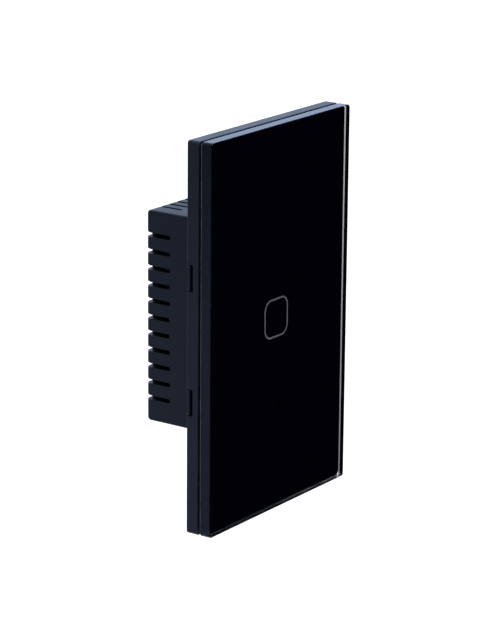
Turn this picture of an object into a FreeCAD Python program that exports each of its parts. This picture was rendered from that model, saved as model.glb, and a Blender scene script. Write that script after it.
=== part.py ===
import FreeCAD, Part
import math
import os
from FreeCAD import Vector

# A single touch light switch for a United States wall box. All sizes are in millimetres.
# X points to the viewer's right, Z up and Y into the wall. The origin lies in the wall plane, midway between
# the two wall screws. The panel stands out along minus Y and the rear box goes in along plus Y.

# Front panel
PANEL_WIDTH = 72.0
PANEL_HEIGHT = 120.0
PANEL_CORNER = 1.0
GLASS_THICKNESS = 4.0
GLASS_FRONT_BEVEL = 0.25
GLASS_REAR_BEVEL = 0.45
PRINT_THICKNESS = 0.12
PRINT_MARGIN = 0.45
RING_SIZE = 12.3
RING_CORNER = 3.4
RING_LINE = 0.55
ADHESIVE_THICKNESS = 0.25
ADHESIVE_MARGIN = 1.6
LAND_HEIGHT = 0.3
LAND_INSET = 0.9
SKIRT_DEPTH = 4.1
SKIRT_WALL = 1.8
SKIRT_FRONT_ROUND = 0.2
SKIRT_REAR_ROUND = 0.35
FRAME_PLATE = 1.6
RIB_WIDTH = 1.2
RIB_X = 20.0
RIB_Z = (14.0, 49.0)

# Pry notches in the frame's sides, and the tongues of the base plate that show in them
NOTCH_Z = 19.0
NOTCH_LENGTH = 8.2
NOTCH_DEPTH = 2.2
NOTCH_ROUND = 0.4
TONGUE_THICKNESS = 1.05
TONGUE_INSET = 0.0
TONGUE_PLAY = 0.35
TONGUE_CHAMFER = 0.4
PRY_DEPTH = 2.4

# Snap hooks
HOOK_THICKNESS = 1.2
HOOK_WIDTH = 7.0
HOOK_BARB = 0.5
HOOK_RAMP = 0.45
HOOK_TIP_GAP = 0.3
HOOK_EDGE = 5.0
HOOK_SIDE_Z = 32.0
HOOK_END_X = 13.0
HOOK_PLAY = 0.05
SOCKET_PLAY = 0.15
SOCKET_SPRING_ROOM = 0.7
LEDGE_THICKNESS = 0.8

# Light guide
GUIDE_SIZE = 15.6
GUIDE_CORNER = 3.0
GUIDE_PLAY = 0.1
GUIDE_FLANGE = 1.4
GUIDE_FLANGE_THICKNESS = 1.0
GUIDE_BORE_PLAY = 0.6

# Base plate
BASE_THICKNESS = 2.0
BASE_PLAY = 0.2
BASE_CORNER = 1.0
WALL_SCREW_SPACING = 83.34
WALL_SLOT_WIDTH = 4.0
WALL_SLOT_LENGTH = 7.0
WALL_SEAT_THICKNESS = 1.2
WALL_SEAT_MARGIN = 2.8
WALL_HEAD_PLAY = 0.6
WINDOW_SIZE = 20.4
WINDOW_CORNER = 3.0
COLLAR_WALL = 1.2
COLLAR_GAP = 0.1
HOUSING_SEAT_DEPTH = 0.5
HOUSING_SEAT_PLAY = 0.15

# Rear box
BOX_WIDTH = 44.0
BOX_HEIGHT = 66.0
BOX_DEPTH = 25.7
BOX_WALL = 1.8
BOX_CORNER = 0.8
BOX_REAR_ROUND = 1.6
VENT_WIDTH = 1.35
VENT_LENGTH = 9.2
SIDE_VENT_WRAP = 3.3
TOP_VENT_WRAP = 2.3
VENT_FLARE = 0.2
VENT_FLARE_DEPTH = 0.6
SIDE_VENT_COUNT = 11
SIDE_VENT_END = 7.5
TOP_VENT_COUNT = 9
TOP_VENT_END = 6.0

# Corner screws that hold the rear box to the base plate
BOSS_INSET = 3.0
BOSS_RADIUS = 2.6
BOSS_LENGTH = 6.0
TUBE_RADIUS = 2.8
HOUSING_SCREW_RADIUS = 1.1
HOUSING_SCREW_HEAD_RADIUS = 2.0
HOUSING_SCREW_HEAD = 1.6
HOUSING_SCREW_SEAT_DEPTH = 14.0
HOUSING_SCREW_TIP = 1.2
SCREW_HOLE_PLAY = 0.02
SCREW_PASS_PLAY = 0.3
SCREW_SLOT_WIDTH = 0.6

# Circuit boards
BOARD_CORNER = 1.0
STANDOFF = 2.0
STANDOFF_RADIUS = 2.2
TOUCH_BOARD_SIDE_GAP = 5.0
TOUCH_BOARD_END_GAP = 5.2
TOUCH_BOARD_THICKNESS = 1.2
TOUCH_SCREW_INSET = 3.0
BOARD_GAP = 4.4
POWER_BOARD_THICKNESS = 1.6
POWER_BOARD_PLAY = 0.3
BOARD_SCREW_RADIUS = 0.9
BOARD_SCREW_HEAD_RADIUS = 1.7
BOARD_SCREW_HEAD = 1.2
POST_RADIUS = 2.0
POST_INSET = 2.6
POST_TUBE_GAP = 1.9
POST_TERMINAL_GAP = 1.7
LEAD_TAIL = 1.0
LEAD_PLAY = 0.1

# Touch spring
SPRING_WIRE = 0.5
SPRING_RADIUS = 2.8
SPRING_TURNS = 4
SPRING_LIFT = 1.2
SPRING_BEND = 0.8
SPRING_GAP = 0.1

# Small parts on the touch board
LED_SIZE = 1.6
LED_HEIGHT = 0.8
LED_Z = 4.8
TOUCH_CHIP_WIDTH = 4.0
TOUCH_CHIP_LENGTH = 5.0
TOUCH_CHIP_HEIGHT = 1.5
TOUCH_CHIP_GAP = 2.0
RADIO_WIDTH = 16.0
RADIO_HEIGHT = 20.0
RADIO_THICKNESS = 0.8
RADIO_EDGE_GAP = 2.0
SHIELD_WIDTH = 12.4
SHIELD_HEIGHT = 12.6
SHIELD_DEPTH = 2.2
SHIELD_CORNER = 0.8
SHIELD_EDGE_GAP = 0.8
HEADER_EDGE_GAP = 9.0
HEADER_PINS = 5
HEADER_PITCH = 2.54
HEADER_WIDTH = 2.5
HEADER_BASE = 1.5
HEADER_PIN = 0.6

# Terminal block
TERMINAL_NAMES = ("line", "neutral", "load")
TERMINAL_TUBE_GAP = 0.6
TERMINAL_END_WALL = 0.6
TERMINAL_INNER_WALL = 1.5
TERMINAL_RECESS = 0.2
TERMINAL_HEIGHT = 11.6
TERMINAL_FACE_WALL = 1.6
TERMINAL_BACK_WALL = 1.2
TERMINAL_CUTOUT_PLAY = 0.15
ENTRY_PLAY = 0.2
CAGE_LENGTH = 6.0
CAGE_WALL = 0.8
CAGE_FLOOR = 1.0
CAGE_HEAD = 2.3
CAGE_BOARD_GAP = 0.3
CAGE_PLAY = 0.15
WIRE_ROOM = 4.8
BAR_PLAY = 0.4
BAR_THICKNESS = 1.0
BAR_SHELF_GAP = 0.1
TERMINAL_SCREW_RADIUS = 1.5
TERMINAL_SCREW_HEAD_RADIUS = 2.6
TERMINAL_SCREW_HEAD = 1.8
TERMINAL_SCREW_SLOT = 0.8
TERMINAL_SCREW_RECESS = 0.45
THREAD_PLAY = 0.05
SHELF_THICKNESS = 0.9

# Relay
PART_GAP = 1.2
RELAY_EDGE_GAP = 0.7
RELAY_WIDTH = 16.0
RELAY_LENGTH = 20.0
RELAY_HEIGHT = 11.2
RELAY_WALL = 0.7
RELAY_FLOOR = 1.2
RELAY_PLAY = 0.1
RELAY_SPRING_ROOM = 1.0
RELAY_CONTACT_ROOM = 4.0
RELAY_ARMATURE_ROOM = 6.8
RELAY_COIL_ROOM = 0.7
COIL_FLANGE_THICKNESS = 0.8
COIL_BARREL_RADIUS = 2.1
COIL_WINDING_INSET = 0.4
CORE_RADIUS = 1.5
POLE_RADIUS = 2.5
POLE_THICKNESS = 0.7
YOKE_THICKNESS = 1.1
YOKE_INSET = 0.6
ARMATURE_THICKNESS = 1.2
ARMATURE_OVERHANG = 0.2
ARMATURE_GAP = 0.06
ARMATURE_OPEN_ANGLE = 4.5
LEAF_THICKNESS = 0.2
LEAF_WIDTH = 4.0
CONTACT_RADIUS = 1.2
CONTACT_THICKNESS = 0.6
CONTACT_GAP = 0.05
CONTACT_EDGE_GAP = 0.6
CONTACT_BLADE_WIDTH = 3.0
CONTACT_BLADE_THICKNESS = 0.8
RETURN_SPRING_LENGTH = 6.0
RETURN_SPRING_GAP = 0.12
RETURN_SPRING_INSET = 1.0
COIL_PIN = 0.6
COIL_PIN_DEPTH = 1.2

# Transformer
TRANSFORMER_BASE = 1.2
CORE_WIDTH = 6.0
CORE_LENGTH = 13.4
CORE_HEIGHT = 10.6
CORE_YOKE = 2.0
CORE_END = 2.2
CORE_LEG = 3.0
BOBBIN_PLAY = 0.1
BOBBIN_WALL = 0.6
WINDING_BUILD = 2.2

# Loose parts on the power board
MAIN_CAPACITOR_RADIUS = 4.0
MAIN_CAPACITOR_HEIGHT = 12.0
MAIN_CAPACITOR_EDGE_GAP = 2.8
OUTPUT_CAPACITOR_RADIUS = 3.15
OUTPUT_CAPACITOR_HEIGHT = 9.0
FILM_CAPACITOR_WIDTH = 6.0
FILM_CAPACITOR_LENGTH = 11.0
FILM_CAPACITOR_HEIGHT = 11.0
FILM_CAPACITOR_EDGE_GAP = 2.0
FILM_CAPACITOR_RELIEF = 0.4
VARISTOR_RADIUS = 4.0
VARISTOR_THICKNESS = 3.4
FUSE_WIDTH = 8.4
FUSE_LENGTH = 4.0
FUSE_HEIGHT = 7.6
CHOKE_RADIUS = 3.6
CHOKE_BARREL = 1.6
CHOKE_HEIGHT = 8.0
CHOKE_FLANGE = 1.0
CHOKE_WINDING_INSET = 0.3
CHOKE_EDGE_GAP = 3.6
RECTIFIER_WIDTH = 6.4
RECTIFIER_LENGTH = 5.0
RECTIFIER_HEIGHT = 2.6
POWER_CHIP_WIDTH = 4.0
POWER_CHIP_LENGTH = 5.0
POWER_CHIP_HEIGHT = 1.6
CHIP_LEAD = 0.4
CHIP_LEAD_REACH = 1.0
CHIP_LEADS = 4
RECTIFIER_LEADS = 2

# Levels along Y that follow from the sizes
WALL = 0.0
SKIRT_FRONT = WALL - SKIRT_DEPTH
LAND_FRONT = SKIRT_FRONT - LAND_HEIGHT
PRINT_REAR = LAND_FRONT - ADHESIVE_THICKNESS
GLASS_REAR = PRINT_REAR - PRINT_THICKNESS
GLASS_FRONT = GLASS_REAR - GLASS_THICKNESS
PLATE_REAR = LAND_FRONT + FRAME_PLATE
BASE_FRONT = WALL - BASE_THICKNESS
LEDGE_REAR = BASE_FRONT + LEDGE_THICKNESS
TOUCH_BOARD_FRONT = WALL + STANDOFF
TOUCH_BOARD_REAR = TOUCH_BOARD_FRONT + TOUCH_BOARD_THICKNESS
POWER_BOARD_FRONT = TOUCH_BOARD_REAR + BOARD_GAP
POWER_BOARD_REAR = POWER_BOARD_FRONT + POWER_BOARD_THICKNESS
BOX_REAR = WALL + BOX_DEPTH
BOX_INNER_REAR = BOX_REAR - BOX_WALL
HOUSING_SEAT = WALL - HOUSING_SEAT_DEPTH

# Places across the switch that follow from the sizes
BASE_WIDTH = PANEL_WIDTH - 2 * (SKIRT_WALL + BASE_PLAY)
BASE_HEIGHT = PANEL_HEIGHT - 2 * (SKIRT_WALL + BASE_PLAY)
BOX_INNER_X = BOX_WIDTH / 2 - BOX_WALL
BOX_INNER_Z = BOX_HEIGHT / 2 - BOX_WALL
SIDE_VENT_PITCH = (BOX_HEIGHT - 2 * SIDE_VENT_END) / (SIDE_VENT_COUNT - 1)
TOP_VENT_PITCH = (BOX_WIDTH - 2 * TOP_VENT_END) / (TOP_VENT_COUNT - 1)
BOSS_X = BOX_INNER_X - BOSS_INSET
BOSS_Z = BOX_INNER_Z - BOSS_INSET
TOUCH_BOARD_WIDTH = 2 * (BOX_INNER_X - TOUCH_BOARD_SIDE_GAP)
TOUCH_BOARD_HEIGHT = 2 * (BOX_INNER_Z - TOUCH_BOARD_END_GAP)
TOUCH_SCREW_X = TOUCH_BOARD_WIDTH / 2 - TOUCH_SCREW_INSET
TOUCH_SCREW_Z = TOUCH_BOARD_HEIGHT / 2 - TOUCH_SCREW_INSET
TOUCH_CHIP_Z = WINDOW_SIZE / 2 + COLLAR_WALL + TOUCH_CHIP_GAP + TOUCH_CHIP_LENGTH / 2
RADIO_Z = TOUCH_BOARD_HEIGHT / 2 - RADIO_EDGE_GAP - RADIO_HEIGHT / 2
SHIELD_Z = RADIO_Z - RADIO_HEIGHT / 2 + SHIELD_EDGE_GAP + SHIELD_HEIGHT / 2
HEADER_Z = -TOUCH_BOARD_HEIGHT / 2 + HEADER_EDGE_GAP
GUIDE_BORE_RADIUS = SPRING_RADIUS + SPRING_WIRE / 2 + GUIDE_BORE_PLAY

# Levels and places of the terminal block
TERMINAL_REAR = BOX_REAR - TERMINAL_RECESS
TERMINAL_LOW = -BOX_HEIGHT / 2 + TERMINAL_RECESS
TERMINAL_HIGH = TERMINAL_LOW + TERMINAL_HEIGHT
TERMINAL_WIDTH = 2 * (BOSS_X - TUBE_RADIUS - TERMINAL_TUBE_GAP)
TERMINAL_PITCH = (TERMINAL_WIDTH - 2 * TERMINAL_END_WALL) / len(TERMINAL_NAMES)
CAGE_WIDTH = TERMINAL_PITCH - 2 * CAGE_PLAY - TERMINAL_INNER_WALL
ENTRY_WIDTH = CAGE_WIDTH - 2 * (CAGE_WALL + ENTRY_PLAY)
BAR_WIDTH = CAGE_WIDTH - 2 * (CAGE_WALL + BAR_PLAY)
CAGE_FRONT = POWER_BOARD_REAR + CAGE_BOARD_GAP
WIRE_FRONT = CAGE_FRONT + CAGE_FLOOR
WIRE_REAR = WIRE_FRONT + WIRE_ROOM
BAR_REAR = WIRE_REAR + BAR_THICKNESS
CAGE_HEAD_FRONT = BAR_REAR + BAR_SHELF_GAP
CAGE_REAR = CAGE_HEAD_FRONT + CAGE_HEAD
SHELF_REAR = TERMINAL_REAR - TERMINAL_SCREW_RECESS - TERMINAL_SCREW_HEAD - THREAD_PLAY
SHELF_FRONT = SHELF_REAR - SHELF_THICKNESS
POCKET_LOW = TERMINAL_LOW + TERMINAL_FACE_WALL
POCKET_HIGH = TERMINAL_HIGH - TERMINAL_BACK_WALL
CAGE_LOW = POCKET_LOW + CAGE_PLAY
CAGE_HIGH = CAGE_LOW + CAGE_LENGTH
CAGE_MIDDLE = (CAGE_LOW + CAGE_HIGH) / 2

# Posts under the power board, and where the first parts on it start below the upper corner tubes
POST_X = BOX_INNER_X - POST_INSET
POST_LOW_Z = TERMINAL_HIGH + POST_TERMINAL_GAP + POST_RADIUS
POST_HIGH_Z = BOSS_Z - TUBE_RADIUS - POST_TUBE_GAP - POST_RADIUS
PARTS_HIGH = BOSS_Z - TUBE_RADIUS - PART_GAP

# Levels and places of the relay
RELAY_X = -BOX_INNER_X + RELAY_EDGE_GAP + RELAY_WIDTH / 2
RELAY_Z = PARTS_HIGH - RELAY_LENGTH / 2
RELAY_TOP = POWER_BOARD_REAR + RELAY_HEIGHT
RELAY_INNER_WIDTH = RELAY_WIDTH - 2 * RELAY_WALL
RELAY_INNER_LENGTH = RELAY_LENGTH - 2 * RELAY_WALL
RELAY_FLOOR_REAR = POWER_BOARD_REAR + RELAY_FLOOR
YOKE_OUTER_X = RELAY_X + RELAY_INNER_WIDTH / 2 - RELAY_SPRING_ROOM
YOKE_INNER_X = YOKE_OUTER_X - YOKE_THICKNESS
COIL_WIDTH = RELAY_INNER_WIDTH - RELAY_SPRING_ROOM - YOKE_THICKNESS - RELAY_PLAY - RELAY_CONTACT_ROOM
COIL_DEPTH = RELAY_HEIGHT - RELAY_WALL - RELAY_FLOOR - 2 * RELAY_PLAY - RELAY_COIL_ROOM
COIL_WINDING_RADIUS = min(COIL_WIDTH, COIL_DEPTH) / 2 - COIL_WINDING_INSET
COIL_X = YOKE_INNER_X - RELAY_PLAY - COIL_WIDTH / 2
COIL_Y = RELAY_FLOOR_REAR + RELAY_PLAY + COIL_DEPTH / 2
YOKE_WIDTH = COIL_DEPTH - 2 * YOKE_INSET
YOKE_LOW = RELAY_Z - RELAY_INNER_LENGTH / 2 + 3 * RELAY_PLAY
COIL_LOW = YOKE_LOW + YOKE_THICKNESS
COIL_HIGH = COIL_LOW + RELAY_INNER_LENGTH - RELAY_ARMATURE_ROOM
POLE_FACE = COIL_HIGH + POLE_THICKNESS
ARMATURE_LOW = POLE_FACE + ARMATURE_GAP
ARMATURE_HIGH = ARMATURE_LOW + ARMATURE_THICKNESS
LEAF_HIGH = ARMATURE_HIGH + LEAF_THICKNESS
CONTACT_X = RELAY_X - RELAY_INNER_WIDTH / 2 + CONTACT_EDGE_GAP + CONTACT_BLADE_WIDTH / 2
FIXED_CONTACT_HIGH = ARMATURE_HIGH - CONTACT_THICKNESS - CONTACT_GAP
BLADE_HIGH = FIXED_CONTACT_HIGH - CONTACT_THICKNESS

# Places of the other parts on the power board, stacked down from the upper tubes
TRANSFORMER_WIDTH = CORE_WIDTH + 2 * (BOBBIN_PLAY + WINDING_BUILD)
TRANSFORMER_X = POST_X - BOARD_SCREW_HEAD_RADIUS - PART_GAP - TRANSFORMER_WIDTH / 2
TRANSFORMER_Z = PARTS_HIGH - CORE_LENGTH / 2
TRANSFORMER_LOW = TRANSFORMER_Z - CORE_LENGTH / 2
MAIN_CAPACITOR_X = BOX_INNER_X - MAIN_CAPACITOR_EDGE_GAP - MAIN_CAPACITOR_RADIUS
MAIN_CAPACITOR_Z = TRANSFORMER_LOW - PART_GAP - MAIN_CAPACITOR_RADIUS
OUTPUT_CAPACITOR_X = MAIN_CAPACITOR_X - MAIN_CAPACITOR_RADIUS - PART_GAP - OUTPUT_CAPACITOR_RADIUS
OUTPUT_CAPACITOR_Z = TRANSFORMER_LOW - PART_GAP - OUTPUT_CAPACITOR_RADIUS
CHOKE_X = BOX_INNER_X - CHOKE_EDGE_GAP - CHOKE_RADIUS
CHOKE_Z = MAIN_CAPACITOR_Z - MAIN_CAPACITOR_RADIUS - PART_GAP - CHOKE_RADIUS
POWER_CHIP_X = CHOKE_X - CHOKE_RADIUS - PART_GAP - CHIP_LEAD_REACH - POWER_CHIP_WIDTH / 2
POWER_CHIP_Z = OUTPUT_CAPACITOR_Z - OUTPUT_CAPACITOR_RADIUS - PART_GAP - POWER_CHIP_LENGTH / 2
FILM_CAPACITOR_X = -BOX_INNER_X + FILM_CAPACITOR_EDGE_GAP + FILM_CAPACITOR_WIDTH / 2
FILM_CAPACITOR_Z = RELAY_Z - RELAY_LENGTH / 2 - PART_GAP - FILM_CAPACITOR_LENGTH / 2
RECTIFIER_X = FILM_CAPACITOR_X + FILM_CAPACITOR_WIDTH / 2 + PART_GAP + CHIP_LEAD_REACH + RECTIFIER_WIDTH / 2
RECTIFIER_Z = RELAY_Z - RELAY_LENGTH / 2 - PART_GAP - RECTIFIER_LENGTH / 2
VARISTOR_Z = RECTIFIER_Z - RECTIFIER_LENGTH / 2 - PART_GAP - VARISTOR_THICKNESS / 2
FUSE_Z = VARISTOR_Z - VARISTOR_THICKNESS / 2 - PART_GAP - FUSE_LENGTH / 2


def block(x_span, y_span, z_span):
    """A plain block between three pairs of limits."""
    low = Vector(x_span[0], y_span[0], z_span[0])
    return Part.makeBox(x_span[1] - x_span[0], y_span[1] - y_span[0], z_span[1] - z_span[0], low)


def span(middle, size):
    """The two limits of a size about its middle."""
    return (middle - size / 2, middle + size / 2)


def edges_along(shape, axis):
    """The straight edges that run along one axis."""
    chosen = []
    for edge in shape.Edges:
        if len(edge.Vertexes) < 2:
            continue
        step = edge.Vertexes[1].Point - edge.Vertexes[0].Point
        across = [abs(step[i]) for i in range(3) if i != axis]
        if max(across) < 1e-6:
            chosen.append(edge)
    return chosen


def edges_at(shape, axis, level):
    """The edges that lie in the plane at one level of an axis."""
    return [e for e in shape.Edges if all(abs(v.Point[axis] - level) < 1e-6 for v in e.Vertexes)]


def pad(width, height, front, rear, x=0.0, z=0.0, corner=0.0):
    """A rounded rectangle seen from the front, extruded along Y."""
    solid = block(span(x, width), (front, rear), span(z, height))
    if corner > 0:
        solid = solid.makeFillet(corner, edges_along(solid, 1))
    return solid


def pin(radius, front, rear, x, z):
    """A cylinder along Y."""
    return Part.makeCylinder(radius, rear - front, Vector(x, front, z), Vector(0, 1, 0))


def upright(radius, low, high, x, y):
    """A cylinder along Z."""
    return Part.makeCylinder(radius, high - low, Vector(x, y, low), Vector(0, 0, 1))


def long_hole(width, length, front, rear, x, z):
    """A slot with round ends that runs along Z, extruded along Y."""
    middle = block(span(x, width), (front, rear), span(z, length - width))
    ends = [pin(width / 2, front, rear, x, end) for end in span(z, length - width)]
    return joined([middle] + ends)


def turned(profile, x, z, base):
    """A solid turned about a line along Y, from points of radius and height above its base."""
    points = [Vector(x + radius, base + height, z) for radius, height in profile]
    face = Part.Face(Part.makePolygon(points + points[:1]))
    return face.revolve(Vector(x, base, z), Vector(0, 1, 0), 360)


def outline(points, low, high):
    """A polygon of X and Y points, extruded along Z."""
    corners = [Vector(x, y, low) for x, y in points]
    return Part.Face(Part.makePolygon(corners + corners[:1])).extrude(Vector(0, 0, high - low))


def joined(shapes):
    """One solid fused from several that touch or overlap."""
    return shapes[0].fuse(shapes[1:]).removeSplitter()


def four_corners(x, z):
    """The four places at plus and minus X and Z."""
    return [(side * x, end * z) for side in (-1, 1) for end in (-1, 1)]


def screw_head(radius, height, front, x, z, slot=SCREW_SLOT_WIDTH):
    """A low round head with a driver slot in its rear face."""
    rear = front + height
    head = pin(radius, front, rear, x, z)
    head = head.makeChamfer(height / 4, edges_at(head, 1, rear))
    return head.cut(block(span(x, 2 * radius), (rear - height / 2, rear), span(z, slot)))


# Front panel

def glass_panel():
    slab = pad(PANEL_WIDTH, PANEL_HEIGHT, GLASS_FRONT, GLASS_REAR, corner=PANEL_CORNER)
    slab = slab.makeChamfer(GLASS_FRONT_BEVEL, edges_at(slab, 1, GLASS_FRONT))
    return slab.makeChamfer(GLASS_REAR_BEVEL, edges_at(slab, 1, GLASS_REAR))


def ring_outline(grow=0.0):
    """The touch mark's rounded square through the print, grown or shrunk."""
    return pad(RING_SIZE + 2 * grow, RING_SIZE + 2 * grow, GLASS_REAR, PRINT_REAR, corner=RING_CORNER + grow)


def ring_print():
    return ring_outline().cut(ring_outline(-RING_LINE))


def back_print():
    sheet = pad(
        PANEL_WIDTH - 2 * PRINT_MARGIN,
        PANEL_HEIGHT - 2 * PRINT_MARGIN,
        GLASS_REAR,
        PRINT_REAR,
        corner=PANEL_CORNER,
    )
    return sheet.cut(ring_print())


def adhesive_sheet():
    sheet = pad(
        PANEL_WIDTH - 2 * ADHESIVE_MARGIN,
        PANEL_HEIGHT - 2 * ADHESIVE_MARGIN,
        PRINT_REAR,
        LAND_FRONT,
        corner=PANEL_CORNER,
    )
    opening = GUIDE_SIZE + 4 * GUIDE_PLAY
    return sheet.cut(pad(opening, opening, PRINT_REAR, LAND_FRONT, corner=GUIDE_CORNER))


def hook_places():
    """Where each snap hook stands and the turn that points its barb outwards."""
    side = BASE_WIDTH / 2 - HOOK_EDGE
    end = BASE_HEIGHT / 2 - HOOK_EDGE
    places = [(side, z, 0) for z in (-HOOK_SIDE_Z, HOOK_SIDE_Z)]
    places += [(-side, z, 180) for z in (-HOOK_SIDE_Z, HOOK_SIDE_Z)]
    places += [(x, end, -90) for x in (-HOOK_END_X, HOOK_END_X)]
    places += [(x, -end, 90) for x in (-HOOK_END_X, HOOK_END_X)]
    return places


def placed(shape, x, z, turn):
    """A copy of a shape turned about Y and moved to its place."""
    copy = shape.copy()
    copy.rotate(Vector(0, 0, 0), Vector(0, 1, 0), turn)
    copy.translate(Vector(x, 0, z))
    return copy


def snap_hook():
    """A cantilever hook whose barb points along X."""
    tip = WALL - HOOK_TIP_GAP
    barb = LEDGE_REAR + HOOK_PLAY
    points = [
        (-HOOK_THICKNESS, PLATE_REAR),
        (0, PLATE_REAR),
        (0, barb),
        (HOOK_BARB, barb),
        (HOOK_BARB, tip - HOOK_RAMP),
        (0, tip),
        (-HOOK_THICKNESS, tip),
    ]
    return outline(points, -HOOK_WIDTH / 2, HOOK_WIDTH / 2)


def hook_socket():
    """The opening that a hook passes, with a ledge behind which its barb catches."""
    inner = -HOOK_THICKNESS - SOCKET_SPRING_ROOM
    half_width = HOOK_WIDTH / 2 + 2 * SOCKET_PLAY
    passage = block((inner, SOCKET_PLAY), (BASE_FRONT, WALL), (-half_width, half_width))
    pocket = block((inner, HOOK_BARB + SOCKET_PLAY), (LEDGE_REAR, WALL), (-half_width, half_width))
    return passage.fuse(pocket)


def panel_frame():
    skirt = pad(PANEL_WIDTH, PANEL_HEIGHT, SKIRT_FRONT, WALL, corner=PANEL_CORNER)
    skirt = skirt.makeFillet(SKIRT_FRONT_ROUND, edges_at(skirt, 1, SKIRT_FRONT))
    skirt = skirt.makeFillet(SKIRT_REAR_ROUND, edges_at(skirt, 1, WALL))
    land_width = PANEL_WIDTH - 2 * LAND_INSET
    land_height = PANEL_HEIGHT - 2 * LAND_INSET
    frame = skirt.fuse(pad(land_width, land_height, LAND_FRONT, SKIRT_FRONT, corner=PANEL_CORNER))
    inner_width = PANEL_WIDTH - 2 * SKIRT_WALL
    inner_height = PANEL_HEIGHT - 2 * SKIRT_WALL
    frame = frame.cut(pad(inner_width, inner_height, PLATE_REAR, WALL))
    ribs = [block(span(x, RIB_WIDTH), (PLATE_REAR, BASE_FRONT), span(0, inner_height)) for x in (-RIB_X, RIB_X)]
    for z in RIB_Z:
        for level in (-z, z):
            ribs.append(block(span(0, inner_width), (PLATE_REAR, BASE_FRONT), span(level, RIB_WIDTH)))
    hooks = [placed(snap_hook(), x, z, turn) for x, z, turn in hook_places()]
    frame = joined([frame] + ribs + hooks)
    opening = GUIDE_SIZE + 2 * GUIDE_PLAY
    cuts = [pad(opening, opening, LAND_FRONT, PLATE_REAR, corner=GUIDE_CORNER)]
    for z in (-WALL_SCREW_SPACING / 2, WALL_SCREW_SPACING / 2):
        head_room = WALL_SEAT_MARGIN + WALL_HEAD_PLAY
        width = WALL_SLOT_WIDTH + 2 * head_room
        length = WALL_SLOT_LENGTH + 2 * head_room
        cuts.append(long_hole(width, length, LAND_FRONT, BASE_FRONT, 0, z))
    for z in (-NOTCH_Z, NOTCH_Z):
        notch = block(span(0, PANEL_WIDTH), (WALL - NOTCH_DEPTH, WALL), span(z, NOTCH_LENGTH))
        inner_edges = [e for e in edges_along(notch, 0) if e.Vertexes[0].Point.y < WALL - NOTCH_DEPTH / 2]
        cuts.append(notch.makeFillet(NOTCH_ROUND, inner_edges))
    return frame.cut(cuts)


def light_guide():
    body = pad(GUIDE_SIZE, GUIDE_SIZE, PRINT_REAR, PLATE_REAR, corner=GUIDE_CORNER)
    flange_size = GUIDE_SIZE + 2 * GUIDE_FLANGE
    flange_rear = PLATE_REAR + GUIDE_FLANGE_THICKNESS
    flange = pad(flange_size, flange_size, PLATE_REAR, flange_rear, corner=GUIDE_CORNER)
    return body.fuse(flange).cut(pin(GUIDE_BORE_RADIUS, PRINT_REAR, flange_rear, 0, 0)).removeSplitter()


# Base plate and rear box

def post_places():
    """The posts under the power board that take a screw."""
    return [(-POST_X, POST_LOW_Z), (POST_X, POST_LOW_Z), (POST_X, POST_HIGH_Z)]


def relay_post_place():
    """The plain post under the corner that the relay covers."""
    return (-POST_X, POST_HIGH_Z)


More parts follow.
